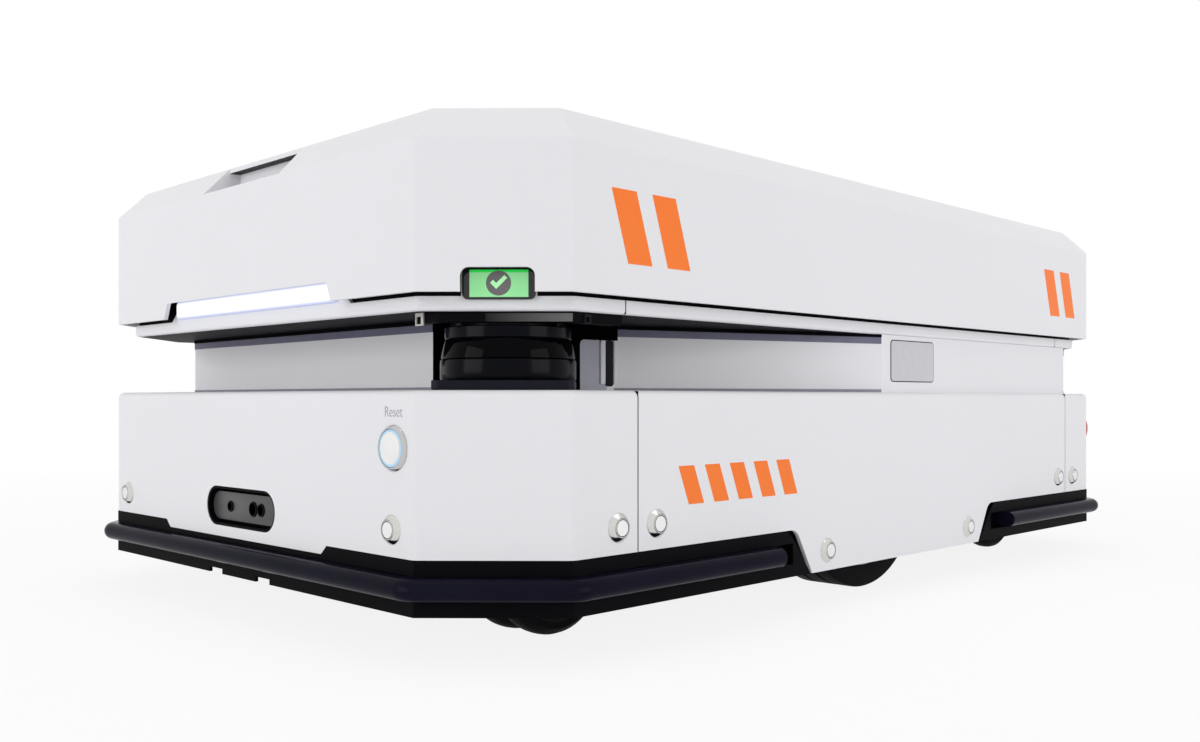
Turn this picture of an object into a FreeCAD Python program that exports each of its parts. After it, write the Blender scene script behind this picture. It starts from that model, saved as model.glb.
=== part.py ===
import FreeCAD, Part
import math
import os

# Autonomous mobile robot: a low transport platform with a lifting deck.
# Millimetres. x points forward, y to the robot's left, z up.
# The origin is on the floor, at the centre of the footprint.

# --- driving dimensions -----------------------------------------------------

BODY_LENGTH = 1200.0
BODY_WIDTH = 746.0
CORNER_CUT = 90.0            # each corner is cut back this far along both sides
WALL = 4.0                   # moulded cover walls
SHEET = 3.0                  # thin moulded and sheet parts

SKIRT_BOTTOM = 39.5          # ground clearance
COVER_BOTTOM = 85.0
COVER_TOP = 220.0
COLLAR_BOTTOM = 284.0
COLLAR_TOP = 296.0
DECK_BOTTOM = 298.0
DECK_WALL_TOP = 420.0
DECK_TOP = 450.0
DECK_BEVEL = 28.5
DECK_PLATE = 4.5

LIFT_TRAVEL = 60.0

COLLAR_INSET = 14.0
COLLAR_CORNER_INSET = 20.0
TUB_WALL = 3.0               # dark tub that rises from the collar into the deck
SEAM_X = 435.0               # upright seams between end covers and side covers
SEAM_GAP = 1.4

BELLY_PLATE = (42.0, 46.0)   # lower plate of the welded frame, bottom and top
MAIN_PLATE = (150.0, 156.0)  # main plate of the welded frame, bottom and top
UPPER_PLATE = (368.0, 374.0)

BUMPER_LOW = 53.0
BUMPER_HIGH = 71.7
BUMPER_REACH = 16.0          # how far the bumper stands out of the body
CHANNEL_LOW = 51.7
CHANNEL_HIGH = 72.0
CHANNEL_DEPTH = 12.0
SKIRT_DEPTH = 15.0
BUMPER_END_X = 243.0
CHANNEL_END_X = 211.0

PANEL_LOW_X = 178.0          # side cover reaches down to the skirt bottom between these
PANEL_HIGH_X = 205.0

DRIVE_WHEEL_R = 125.0
DRIVE_WHEEL_WIDTH = 60.0
DRIVE_WHEEL_Y = 294.0
ARM_PIVOT = (-175.0, 110.0)  # x and z of the swing arm's pin

CASTER_X = 462.5             # swivel axes
CASTER_Y = 242.0
CASTER_TRAIL = 30.0
CASTER_WHEEL_R = 62.5
CASTER_WHEEL_WIDTH = 28.0
CASTER_WHEEL_OFFSET = 20.0   # each wheel's middle from the caster's own middle

SCREW_X = 360.0              # lift screws, on the middle line
ROD_Y = 150.0                # guide rods, beside the screws

SCANNER_X = 495.0
SCANNER_Y = 277.0

RUN_FIT = 0.05               # radial running clearance of bushes and bearings

# --- helpers -----------------------------------------------------------------


def save(name, shape):
    """Write one sub-part to its STEP file."""
    shape.exportStep("parts/%s.step" % name)
    print("%-24s solids %2d  volume %9.0f mm3" % (name, len(shape.Solids), shape.Volume))


def vec(x, y, z):
    return FreeCAD.Vector(x, y, z)


def box(x, y, z):
    """Box between two x, two y and two z values."""
    corner = vec(x[0], y[0], z[0])
    return Part.makeBox(x[1] - x[0], y[1] - y[0], z[1] - z[0], corner)


def cylinder(radius, start, end):
    along = vec(*end) - vec(*start)
    return Part.makeCylinder(radius, along.Length, vec(*start), along)


def join(shapes):
    """Fuse a list of shapes into one body with its flat faces merged."""
    return shapes[0].fuse(shapes[1:]).removeSplitter()


def group(shapes):
    """Keep shapes as separate solids in one sub-part."""
    return Part.makeCompound(shapes)


def prism(points, z_low, z_high):
    """Straight prism on a closed outline of (x, y) points."""
    loop = [vec(x, y, z_low) for x, y in points]
    face = Part.Face(Part.makePolygon(loop + loop[:1]))
    return face.extrude(vec(0, 0, z_high - z_low))


def side_plate(points, y_low, y_high):
    """Plate cut to an outline of (x, z) points and standing along y."""
    loop = [vec(x, y_low, z) for x, z in points]
    face = Part.Face(Part.makePolygon(loop + loop[:1]))
    return face.extrude(vec(0, y_high - y_low, 0))


def end_plate(points, x_low, x_high):
    """Plate cut to an outline of (y, z) points and standing along x."""
    loop = [vec(x_low, y, z) for y, z in points]
    face = Part.Face(Part.makePolygon(loop + loop[:1]))
    return face.extrude(vec(x_high - x_low, 0, 0))


def turned(profile, base, axis):
    """Solid of revolution. The profile holds (radius, height) points along the axis."""
    loop = [vec(radius, 0, height) for radius, height in profile]
    face = Part.Face(Part.makePolygon(loop + loop[:1]))
    solid = face.revolve(vec(0, 0, 0), vec(0, 0, 1), 360)
    turn = FreeCAD.Rotation(vec(0, 0, 1), vec(*axis))
    solid.Placement = FreeCAD.Placement(vec(*base), turn)
    return solid


def half_turn(shape):
    """The same shape turned 180 degrees about the robot's upright middle line."""
    copy = shape.copy()
    copy.rotate(vec(0, 0, 0), vec(0, 0, 1), 180)
    return copy


def other_side(shape):
    """Mirror image across the robot's middle plane."""
    return shape.mirror(vec(0, 0, 0), vec(0, 1, 0))


def other_end(shape):
    """Mirror image from the front end to the rear end."""
    return shape.mirror(vec(0, 0, 0), vec(1, 0, 0))


def round_edges(shape, radius, chosen):
    """Fillet every edge for which chosen(edge) is true."""
    edges = [edge for edge in shape.Edges if chosen(edge)]
    return shape.makeFillet(radius, edges)


def upright(edge):
    low, high = edge.BoundBox.ZMin, edge.BoundBox.ZMax
    flat = edge.BoundBox.XLength + edge.BoundBox.YLength
    return high - low > 1.0 and flat < 0.01


def octagon(inset, corner_inset=None):
    """Body outline moved inwards: four long sides and four cut corners."""
    if corner_inset is None:
        corner_inset = inset
    half_x = BODY_LENGTH / 2 - inset
    half_y = BODY_WIDTH / 2 - inset
    reach = (BODY_LENGTH + BODY_WIDTH) / 2 - CORNER_CUT - corner_inset * math.sqrt(2)
    quarter = [(half_x, reach - half_x), (reach - half_y, half_y)]
    mirrored = [(-x, y) for x, y in reversed(quarter)]
    left = quarter + mirrored
    return left + [(-x, -y) for x, y in left]


def rounded_wire(points, radius, z):
    """Closed wire through an outline with an arc at each corner."""
    count = len(points)
    corners = []
    for i in range(count):
        here = vec(points[i][0], points[i][1], z)
        back = vec(points[i - 1][0], points[i - 1][1], z) - here
        ahead = vec(points[(i + 1) % count][0], points[(i + 1) % count][1], z) - here
        back.normalize()
        ahead.normalize()
        half_angle = back.getAngle(ahead) / 2
        reach = radius / math.tan(half_angle)
        towards = (back + ahead).normalize()
        centre = here + towards * (radius / math.sin(half_angle))
        corners.append((here + back * reach, centre - towards * radius, here + ahead * reach))
    edges = []
    for i in range(count):
        start, middle, end = corners[i]
        edges.append(Part.Arc(start, middle, end).toShape())
        edges.append(Part.LineSegment(end, corners[(i + 1) % count][0]).toShape())
    return Part.Wire(edges)


def rounded_prism(points, radius, z_low, z_high):
    face = Part.Face(rounded_wire(points, radius, z_low))
    return face.extrude(vec(0, 0, z_high - z_low))


def stadium(centre_y, centre_z, length, height, x_low, x_high):
    """Bar along y with round ends, standing along x."""
    radius = height / 2
    reach = length / 2 - radius
    middle = box((x_low, x_high), (centre_y - reach, centre_y + reach),
                 (centre_z - radius, centre_z + radius))
    ends = [cylinder(radius, (x_low, centre_y + side * reach, centre_z),
                     (x_high, centre_y + side * reach, centre_z)) for side in (-1, 1)]
    return join([middle] + ends)


def on_corner(shape, side_x, side_y, inset=0.0):
    """Move a shape built on the yz plane, facing +x, onto a cut corner's face."""
    half_x = BODY_LENGTH / 2
    half_y = BODY_WIDTH / 2
    middle_x = half_x - CORNER_CUT / 2 - inset / math.sqrt(2)
    middle_y = half_y - CORNER_CUT / 2 - inset / math.sqrt(2)
    angle = math.degrees(math.atan2(side_y, side_x))
    copy = shape.copy()
    copy.rotate(vec(0, 0, 0), vec(0, 0, 1), angle)
    copy.translate(vec(side_x * middle_x, side_y * middle_y, 0))
    return copy


FAR = 1000.0                 # well outside the body, for cutting tools
EVERYWHERE = (-FAR, FAR)

# --- plan of the waist --------------------------------------------------------

# The waist wall stands back behind the scan slot. Its front face leans a little, a
# pocket holds the scanner, and a wedge leads from the pocket out to the side.
WAIST_FRONT = [(466.0, -358.0), (495.0, -307.0), (508.0, 188.0)]
WAIST_POCKET = [(425.0, 192.0), (425.0, 246.0), (335.0, 250.0)]
WAIST_SIDE = [(22.0, 358.0)]


def waist_prism(inset, z_low, z_high):
    """Block on the waist's outline, the same from front and rear after half a turn."""
    half = WAIST_FRONT + WAIST_POCKET + WAIST_SIDE
    points = half + [(-x, -y) for x, y in half]
    loop = [vec(x, y, z_low) for x, y in points]
    outline = Part.makePolygon(loop + loop[:1])
    if inset:
        outline = outline.makeOffset2D(-inset, 2)
    return Part.Face(outline).extrude(vec(0, 0, z_high - z_low))


def waist_panel():
    """Wall from the front right corner, round the scanner pocket, to the rear left."""
    shell = waist_prism(0, COVER_TOP - 14, COLLAR_BOTTOM)
    shell = shell.cut(waist_prism(SHEET, COVER_TOP - 15, COLLAR_BOTTOM + 1))
    # The two panels part on the line between the front right and rear left corners.
    x, y = WAIST_FRONT[0]
    lead = math.hypot(x, y)
    along_x, along_y = x * FAR / lead, y * FAR / lead
    half_plane = [(-along_x, -along_y), (along_x, along_y),
                  (along_x - along_y, along_y + along_x), (-along_x - along_y, -along_y + along_x)]
    return shell.common(prism(half_plane, 0, DECK_TOP))


# --- lower covers ---------------------------------------------------------------

BUTTON_Y = 256.5
BUTTON_Z = 173.0
CAMERA_Y = 2.0
CAMERA_Z = 107.0
CAMERA_LENGTH = 134.0
CAMERA_HEIGHT = 39.0


def lower_cover_shell():
    """All four lower covers as one shell, before it is parted at the seams."""
    outer = rounded_prism(octagon(0), 8.0, COVER_BOTTOM, COVER_TOP)
    outer = round_edges(outer, 6.5, lambda edge: edge.BoundBox.ZMin > COVER_TOP - 0.01)
    inner = prism(octagon(WALL), COVER_BOTTOM - 1, COVER_TOP - WALL)
    shell = outer.cut(inner)
    drop = 8.0
    half_low, half_high = 148.0, 158.0
    lip = [(-half_low, COVER_BOTTOM - drop), (half_low, COVER_BOTTOM - drop),
           (half_high, COVER_BOTTOM + 1), (-half_high, COVER_BOTTOM + 1)]
    front_lip = end_plate(lip, BODY_LENGTH / 2 - WALL, BODY_LENGTH / 2)
    apron = [(-PANEL_LOW_X, SKIRT_BOTTOM), (PANEL_LOW_X, SKIRT_BOTTOM),
             (PANEL_HIGH_X, COVER_BOTTOM), (PANEL_HIGH_X, COVER_BOTTOM + 20),
             (-PANEL_HIGH_X, COVER_BOTTOM + 20), (-PANEL_HIGH_X, COVER_BOTTOM)]
    left_apron = side_plate(apron, BODY_WIDTH / 2 - WALL, BODY_WIDTH / 2)
    shell = join([shell, front_lip, other_end(front_lip), left_apron, other_side(left_apron)])

    def apron_corner(edge):
        extent = edge.BoundBox
        level = max(abs(extent.ZMin - COVER_BOTTOM), abs(extent.ZMax - COVER_BOTTOM)) < 0.01
        return level and extent.XLength < 0.01 and abs(abs(extent.Center.x) - PANEL_HIGH_X) < 0.01

    shell = round_edges(shell, 16.0, apron_corner)
    return shell.cut(waist_prism(0, COVER_TOP - 20, COVER_TOP + 1))


def part_at_seams(shell):
    """Split a shell into front, rear, left and right pieces at the upright seams."""
    edge = SEAM_X + SEAM_GAP / 2
    inside = SEAM_X - SEAM_GAP / 2
    tools = {
        "front": box((edge, FAR), EVERYWHERE, EVERYWHERE),
        "rear": box((-FAR, -edge), EVERYWHERE, EVERYWHERE),
        "left": box((-inside, inside), (0, FAR), EVERYWHERE),
        "right": box((-inside, inside), (-FAR, 0), EVERYWHERE),
    }
    return {name: shell.common(tool) for name, tool in tools.items()}


def lower_covers():
    pieces = part_at_seams(lower_cover_shell())
    camera_hole = stadium(CAMERA_Y, CAMERA_Z, CAMERA_LENGTH, CAMERA_HEIGHT,
                          BODY_LENGTH / 2 - 20, BODY_LENGTH / 2 + 5)
    button_hole = cylinder(RESET_SLEEVE_R, (BODY_LENGTH / 2 - 20, BUTTON_Y, BUTTON_Z),
                           (BODY_LENGTH / 2 + 5, BUTTON_Y, BUTTON_Z))
    pieces["front"] = pieces["front"].cut([camera_hole, button_hole])
    stop_hole = cylinder(STOP_SLEEVE_R, (-20, 0, STOP_Z), (10, 0, STOP_Z))
    pieces["rear"] = pieces["rear"].cut(on_corner(stop_hole, -1, 1))
    return pieces


# --- upper collar, soffit and waist ------------------------------------------------

def collar_pieces():
    """White rim above the scan slot, with raised tabs for the lights and the display."""
    outer = rounded_prism(octagon(COLLAR_INSET, COLLAR_CORNER_INSET), 8.0,
                          COLLAR_BOTTOM, COLLAR_TOP)
    outer = round_edges(outer, 3.5, lambda edge: edge.BoundBox.ZMax < COLLAR_BOTTOM + 0.01)
    face = BODY_LENGTH / 2 - COLLAR_INSET
    tab = [(-LIGHT_TAB_HALF, COLLAR_TOP - 2), (LIGHT_TAB_HALF, COLLAR_TOP - 2),
           (LIGHT_TAB_HALF, COLLAR_TOP), (LIGHT_HALF + 4, LIGHT_LOW + 8),
           (LIGHT_HALF + 1, LIGHT_HIGH + 1), (-LIGHT_HALF - 1, LIGHT_HIGH + 1),
           (-LIGHT_HALF - 4, LIGHT_LOW + 8), (-LIGHT_TAB_HALF, COLLAR_TOP)]
    light_tab = end_plate(tab, face - WALL, face)
    half = DISPLAY_WIDTH / 2 + 1
    display_tab = box((-WALL, 0), (DISPLAY_SHIFT - half, DISPLAY_SHIFT + half),
                      (COLLAR_TOP - 4, DISPLAY_HIGH + 1))
    display_tab = round_edges(display_tab, 6.0, lambda edge: (
        edge.BoundBox.ZMin > DISPLAY_HIGH and edge.BoundBox.YLength < 0.01))
    tabs = [light_tab, other_end(light_tab),
            on_corner(display_tab, 1, 1, COLLAR_CORNER_INSET)]
    inner = prism(octagon(COLLAR_INSET + WALL, COLLAR_CORNER_INSET + WALL),
                  COLLAR_BOTTOM - 1, LIGHT_HIGH + 10)
    return part_at_seams(join([outer] + tabs).cut(inner))


def soffit_plate():
    """Flat black plate that closes the top of the scan slot, seated on the waist wall."""
    plate = prism(octagon(COLLAR_INSET + WALL, COLLAR_CORNER_INSET + WALL),
                  COLLAR_BOTTOM, COLLAR_BOTTOM + SHEET)
    return plate.cut(waist_prism(SHEET, COLLAR_BOTTOM - 1, COLLAR_BOTTOM + SHEET + 1))


# --- skirts and bumpers ---------------------------------------------------------------

def front_skirt():
    """Black band under the front covers, with a channel that takes the bumper."""
    band = prism(octagon(0), SKIRT_BOTTOM, COVER_BOTTOM)
    band = band.cut(prism(octagon(SKIRT_DEPTH), SKIRT_BOTTOM - 1, COVER_BOTTOM + 1))
    channel = prism(octagon(-5), CHANNEL_LOW, CHANNEL_HIGH)
    channel = channel.cut(prism(octagon(CHANNEL_DEPTH), CHANNEL_LOW, CHANNEL_HIGH))
    channel = channel.common(box((CHANNEL_END_X, FAR), EVERYWHERE, EVERYWHERE))
    top_hollow = prism(octagon(SHEET), CHANNEL_HIGH + SHEET, COVER_BOTTOM + 1)
    low_hollow = prism(octagon(SHEET), SKIRT_BOTTOM - 1, CHANNEL_LOW - SHEET)
    band = band.cut([channel, top_hollow, low_hollow])
    gap = 2.0
    slope_end = [(PANEL_LOW_X + gap, SKIRT_BOTTOM - 1), (FAR, SKIRT_BOTTOM - 1),
                 (FAR, COVER_BOTTOM + 1), (PANEL_HIGH_X + 18, COVER_BOTTOM + 1),
                 (PANEL_HIGH_X + gap, COVER_BOTTOM - 12)]
    band = band.common(side_plate(slope_end, -FAR, FAR))
    lip_room = [(-148.0, COVER_BOTTOM - 8.0), (148.0, COVER_BOTTOM - 8.0),
                (158.0, COVER_BOTTOM + 1), (-158.0, COVER_BOTTOM + 1)]
    band = band.cut(end_plate(lip_room, BODY_LENGTH / 2 - WALL, BODY_LENGTH / 2 + 1))
    notches = [box((BODY_LENGTH / 2 - 4, FAR), (side * 46 - 13, side * 46 + 13),
                   (SKIRT_BOTTOM - 1, SKIRT_BOTTOM + 5)) for side in (-1, 1)]
    return band.cut(notches)


def front_bumper():
    """Rubber rail with a D-shaped section, bent round both cut corners."""
    nose_r = (BUMPER_HIGH - BUMPER_LOW) / 2 - 0.05
    rail = rounded_prism(octagon(-BUMPER_REACH), 30.0, BUMPER_LOW, BUMPER_HIGH)
    rail = rail.makeFillet(nose_r, [edge for edge in rail.Edges if not upright(edge)])
    rail = rail.cut(prism(octagon(CHANNEL_DEPTH), BUMPER_LOW - 1, BUMPER_HIGH + 1))
    return rail.common(box((BUMPER_END_X, FAR), EVERYWHERE, EVERYWHERE))


# --- lifting deck ------------------------------------------------------------------------

DISPLAY_WIDTH = 59.5
DISPLAY_SHIFT = 3.0          # the display sits a little towards the side of its corner
DISPLAY_LOW = 293.0
DISPLAY_HIGH = 319.0
LIGHT_HALF = 157.5
LIGHT_TAB_HALF = 174.0
LIGHT_LOW = 298.0
LIGHT_HIGH = 317.5
RECESS_HALF = 75.0           # hand recess in the deck's rim
RECESS_DEPTH = 40.0


def deck_block(inset, radius, z_low, z_wall, z_top):
    """Octagonal block with straight walls and a bevelled rim."""
    walls = rounded_prism(octagon(inset), radius, z_low, z_wall)
    rim = Part.makeLoft([rounded_wire(octagon(inset), radius, z_wall),
                         rounded_wire(octagon(inset + DECK_BEVEL), radius, z_top)], True, True)
    return walls.fuse(rim)


def hand_recess():
    """Room for the fingers under the deck's front rim, flared towards the outside."""
    front = BODY_LENGTH / 2
    flare = 4.0
    back = front - RECESS_DEPTH
    plan = [(back, -RECESS_HALF + flare), (front + 1, -RECESS_HALF),
            (front + 1, RECESS_HALF), (back, RECESS_HALF - flare)]
    room = prism(plan, DECK_WALL_TOP + 1, DECK_TOP + 1)
    top_plate = box((0, front - DECK_BEVEL), EVERYWHERE, (DECK_TOP - DECK_PLATE, DECK_TOP + 2))
    return room.cut(top_plate)


def recess_box():
    """Moulded pocket behind the hand recess, with a wall all round it."""
    front = BODY_LENGTH / 2
    back = front - RECESS_DEPTH - SHEET
    side = RECESS_HALF + SHEET
    return box((back, front - WALL), (-side, side),
               (DECK_WALL_TOP + 1 - SHEET, DECK_TOP - DECK_PLATE))


def deck_cover():
    """White deck with its bevelled rim, hand recesses and cut-outs in the skirt."""
    outer = deck_block(0, 6.0, DECK_BOTTOM, DECK_WALL_TOP, DECK_TOP)
    inner = deck_block(WALL, 2.0, DECK_BOTTOM - 1, DECK_WALL_TOP - 2, DECK_TOP - DECK_PLATE)
    shell = outer.cut(inner)
    pocket = recess_box().common(outer)
    shell = shell.fuse([pocket, other_end(pocket)])
    shell = shell.cut([hand_recess(), other_end(hand_recess())])
    top_half, low_half = 155.0, 164.0
    light_gap = [(-low_half, DECK_BOTTOM - 2), (low_half, DECK_BOTTOM - 2),
                 (top_half, LIGHT_HIGH - 1), (-top_half, LIGHT_HIGH - 1)]
    front_gap = end_plate(light_gap, BODY_LENGTH / 2 - 30, BODY_LENGTH / 2 + 1)
    front_gap = round_edges(front_gap, 5.0, lambda edge: edge.BoundBox.ZMin > LIGHT_HIGH - 2)
    half = DISPLAY_WIDTH / 2
    gap_top = DISPLAY_HIGH - 1.5
    display_gap = box((-30, 5), (DISPLAY_SHIFT - half, DISPLAY_SHIFT + half),
                      (DECK_BOTTOM - 2, gap_top))
    display_gap = round_edges(display_gap, 7.0, lambda edge: (
        edge.BoundBox.ZMin > gap_top - 0.1 and edge.BoundBox.YLength < 0.01))
    shell = shell.cut([front_gap, other_end(front_gap), on_corner(display_gap, 1, 1)])
    return shell.removeSplitter()


def lift_frame():
    """Welded frame under the deck with two columns that end in the screw nuts."""
    low, high = FRAME_LOW, DECK_TOP - DECK_PLATE
    tube = 40.0
    rails = [box((-520, 520), (side * ROD_Y - tube / 2, side * ROD_Y + tube / 2), (low, high))
             for side in (-1, 1)]
    crosses = [box((x - tube / 2, x + tube / 2), (-330, 330), (low, high))
               for x in (-SCREW_X, SCREW_X)]
    middle = box((-20, 20), (-300, 300), (low + 10, high))
    columns = [box((x - 20, x + 20), (-20, 20), (292, low + 5)) for x in (-SCREW_X, SCREW_X)]
    frame = join(rails + crosses + [middle] + columns)
    bores = []
    for x in (-SCREW_X, SCREW_X):
        bores.append(cylinder(14, (x, 0, 316), (x, 0, high - 6)))
        bores.append(cylinder(SCREW_R + RUN_FIT, (x, 0, 280), (x, 0, 320)))
    return frame.cut(bores)


def rod_places():
    return [(x, y) for x in (-SCREW_X, SCREW_X) for y in (-ROD_Y, ROD_Y)]


ROD_R = 12.5
SCREW_R = 10.0
JOURNAL_R = 8.0
SCREW_BOTTOM = 226.0
ROD_BOTTOM = 186.0
FRAME_LOW = 404.0


def guide_rods():
    """Four ground rods that keep the deck level."""
    rods = [cylinder(ROD_R, (x, y, ROD_BOTTOM), (x, y, FRAME_LOW)) for x, y in rod_places()]
    return group(rods)


def lift_screw(x):
    """Lead screw with a journal below and a square drive end on top."""
    journal = cylinder(JOURNAL_R, (x, 0, SCREW_BOTTOM - 30), (x, 0, SCREW_BOTTOM))
    collar = cylinder(16, (x, 0, SCREW_BOTTOM), (x, 0, SCREW_BOTTOM + 6))
    body = cylinder(SCREW_R, (x, 0, SCREW_BOTTOM + 6), (x, 0, 380))
    square = box((x - 5, x + 5), (-5, 5), (380, 388))
    return join([journal, collar, body, square])


def lift_motors():
    """Two geared lift motors that stand on the main plate under their screws."""
    motors = []
    for x in (-SCREW_X, SCREW_X):
        half = 45.0
        body = box((x - half, x + half), (-half, half), (MAIN_PLATE[1], SCREW_BOTTOM - 12))
        neck = cylinder(30, (x, 0, SCREW_BOTTOM - 12), (x, 0, SCREW_BOTTOM))
        bore = cylinder(JOURNAL_R + RUN_FIT, (x, 0, SCREW_BOTTOM - 30.5), (x, 0, SCREW_BOTTOM + 1))
        motors.append(join([body, neck]).cut(bore))
    return group(motors)


# --- frame ---------------------------------------------------------------------------------

def caster_places():
    """Swivel axis and the direction in which the wheels trail, for each caster."""
    return {
        "front_left": (CASTER_X, CASTER_Y, -1),
        "front_right": (CASTER_X, -CASTER_Y, -1),
        "rear_left": (-CASTER_X, CASTER_Y, 1),
        "rear_right": (-CASTER_X, -CASTER_Y, 1),
    }


def chassis_frame():
    """Welded frame: belly plate, main plate, webs between them and corner posts."""
    belly = prism(octagon(SKIRT_DEPTH), *BELLY_PLATE)
    main = prism(octagon(WALL), *MAIN_PLATE)
    between = (BELLY_PLATE[1], MAIN_PLATE[0])
    webs = []
    for side in (-1, 1):
        webs.append(box((side * 345 - 3, side * 345 + 3), (-350, 350), between))
        webs.append(box((-560, 560), (side * 60 - 3, side * 60 + 3), between))
    posts = []
    for x, y in ((300, 215), (455, 120)):
        for side_x in (-1, 1):
            for side_y in (-1, 1):
                posts.append(box((side_x * x - 15, side_x * x + 15),
                                 (side_y * y - 15, side_y * y + 15),
                                 (MAIN_PLATE[1], UPPER_PLATE[0])))
    # Cheeks that carry each drive arm's pin hang from the main plate, either side of it.
    pivot_x, pivot_z = ARM_PIVOT
    cheek = [(pivot_x - 26, MAIN_PLATE[0]), (pivot_x - 16, pivot_z - 18),
             (pivot_x + 16, pivot_z - 18), (pivot_x + 26, MAIN_PLATE[0])]
    cheeks = []
    for y in (ARM_Y[0] - 7, ARM_Y[1] + 1):
        cheeks.append(side_plate(cheek, y, y + 6))
        cheeks.append(side_plate(cheek, -y - 6, -y))
    spring_seats = [cylinder(20, (SPRING_X, side * ARM_MID_Y, SPRING_TOP),
                             (SPRING_X, side * ARM_MID_Y, MAIN_PLATE[0])) for side in (-1, 1)]
    pins = [cylinder(PIN_R, (pivot_x, side * (ARM_Y[0] - 7), pivot_z),
                     (pivot_x, side * (ARM_Y[1] + 7), pivot_z)) for side in (-1, 1)]
    plates = join([belly, main] + webs + posts).cut(frame_cut_outs())
    return join([plates] + cheeks + spring_seats + pins)


def frame_cut_outs():
    """Wheel wells, drive unit openings and lightening holes."""
    cuts = []
    for side in (-1, 1):
        wheel_y = sorted((side * 258, side * 345))
        cuts.append(box((-142, 142), wheel_y, EVERYWHERE))
        motor_y = sorted((side * 34, side * 262))
        cuts.append(box((-116, 84), motor_y, (BELLY_PLATE[1], 200)))
    for x, y, _ in caster_places().values():
        cuts.append(cylinder(100, (x, y, BELLY_PLATE[0] - 1), (x, y, BELLY_PLATE[1] + 1)))
    return cuts


def upper_tub():
    """Dark tub on the posts: its wall seats the collar, its top carries guide bushes."""
    outline = octagon(COLLAR_INSET + WALL, COLLAR_CORNER_INSET + WALL)
    inside = octagon(COLLAR_INSET + WALL + TUB_WALL, COLLAR_CORNER_INSET + WALL + TUB_WALL)
    tub = prism(outline, COLLAR_BOTTOM + SHEET, UPPER_PLATE[1])
    tub = tub.cut(prism(inside, COLLAR_BOTTOM, UPPER_PLATE[0]))
    bushes = [box((x - 20, x + 20), (y - 20, y + 20), (300, UPPER_PLATE[0]))
              for x, y in rod_places()]
    cuts = [cylinder(ROD_R + RUN_FIT, (x, y, 290), (x, y, 380)) for x, y in rod_places()]
    cuts += [box((x - 24, x + 24), (-24, 24), (360, 380)) for x in (-SCREW_X, SCREW_X)]
    cuts.append(box((-240, 240), (-120, 120), (360, 380)))
    return join([tub] + bushes).cut(cuts)


# --- drive units -----------------------------------------------------------------------------

ARM_Y = (236.0, 250.0)
ARM_MID_Y = 243.0
PIN_R = 10.0
SHAFT_R = 17.5
SPRING_X = 108.0
SPRING_TOP = 146.0
ARM_TOP = 104.0              # pad on the arm's free end that the spring stands on


def drive_arm():
    """Left swing arm: pivot boss, plate, motor flange bore and a pad for the spring."""
    pivot_x, pivot_z = ARM_PIVOT
    axle_z = DRIVE_WHEEL_R
    outline = [(pivot_x - 6, pivot_z - 18), (-58, 78), (58, 78), (SPRING_X + 20, ARM_TOP - 22),
               (SPRING_X + 20, ARM_TOP), (66, ARM_TOP), (44, axle_z + 44),
               (-44, axle_z + 44), (-76, pivot_z + 22), (pivot_x + 4, pivot_z + 18)]
    plate = side_plate(outline, *ARM_Y)
    boss = cylinder(20, (pivot_x, ARM_Y[0], pivot_z), (pivot_x, ARM_Y[1], pivot_z))
    pad = cylinder(20, (SPRING_X, ARM_MID_Y, ARM_TOP - 8), (SPRING_X, ARM_MID_Y, ARM_TOP))
    arm = join([plate, boss, pad])
    bores = [cylinder(PIN_R + RUN_FIT, (pivot_x, ARM_Y[0] - 1, pivot_z),
                      (pivot_x, ARM_Y[1] + 1, pivot_z)),
             cylinder(40, (0, ARM_Y[0] - 1, axle_z), (0, ARM_Y[1] + 1, axle_z))]
    return arm.cut(bores)


def suspension_spring():
    """Left suspension spring: a polyurethane buffer between its two end plates."""
    low, high = ARM_TOP, SPRING_TOP
    end_plate_height = 3
    profile = [(0, low), (17, low), (17, low + end_plate_height), (13.5, low + end_plate_height),
               (13.5, high - end_plate_height), (17, high - end_plate_height), (17, high), (0, high)]
    return turned(profile, (SPRING_X, ARM_MID_Y, 0), (0, 0, 1))


def gearmotor():
    """Left planetary gearbox and motor, bolted to the arm, with its axle bearing."""
    profile = [(SHAFT_R + RUN_FIT, 0), (40, 0), (40, 14), (54, 14), (54, 62), (43, 62),
               (43, 176), (0, 176), (0, 46), (SHAFT_R + RUN_FIT, 46)]
    return turned(profile, (0, ARM_Y[1], DRIVE_WHEEL_R), (0, -1, 0))


def drive_wheel():
    """Left drive wheel: cast hub with a stub axle, and a bevelled tyre on its rim."""
    half = DRIVE_WHEEL_WIDTH / 2
    rim_r = 100.0
    base = (0, DRIVE_WHEEL_Y, DRIVE_WHEEL_R)
    shaft_end = -half - 56
    hub_profile = [(0, shaft_end), (SHAFT_R, shaft_end), (SHAFT_R, -half), (rim_r, -half),
                   (rim_r, half), (88, half), (88, half - 14), (0, half - 14)]
    tyre_profile = [(rim_r, -half), (DRIVE_WHEEL_R - 2, -half), (DRIVE_WHEEL_R, -half + 3),
                    (DRIVE_WHEEL_R, half - 3), (DRIVE_WHEEL_R - 2, half), (rim_r, half)]
    return group([turned(hub_profile, base, (0, 1, 0)), turned(tyre_profile, base, (0, 1, 0))])


# --- casters -----------------------------------------------------------------------------------

AXLE_R = 6.0
KINGPIN_R = 8.0
CROWN = (129.0, 136.0)
KINGPIN_TOP = 147.5


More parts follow.
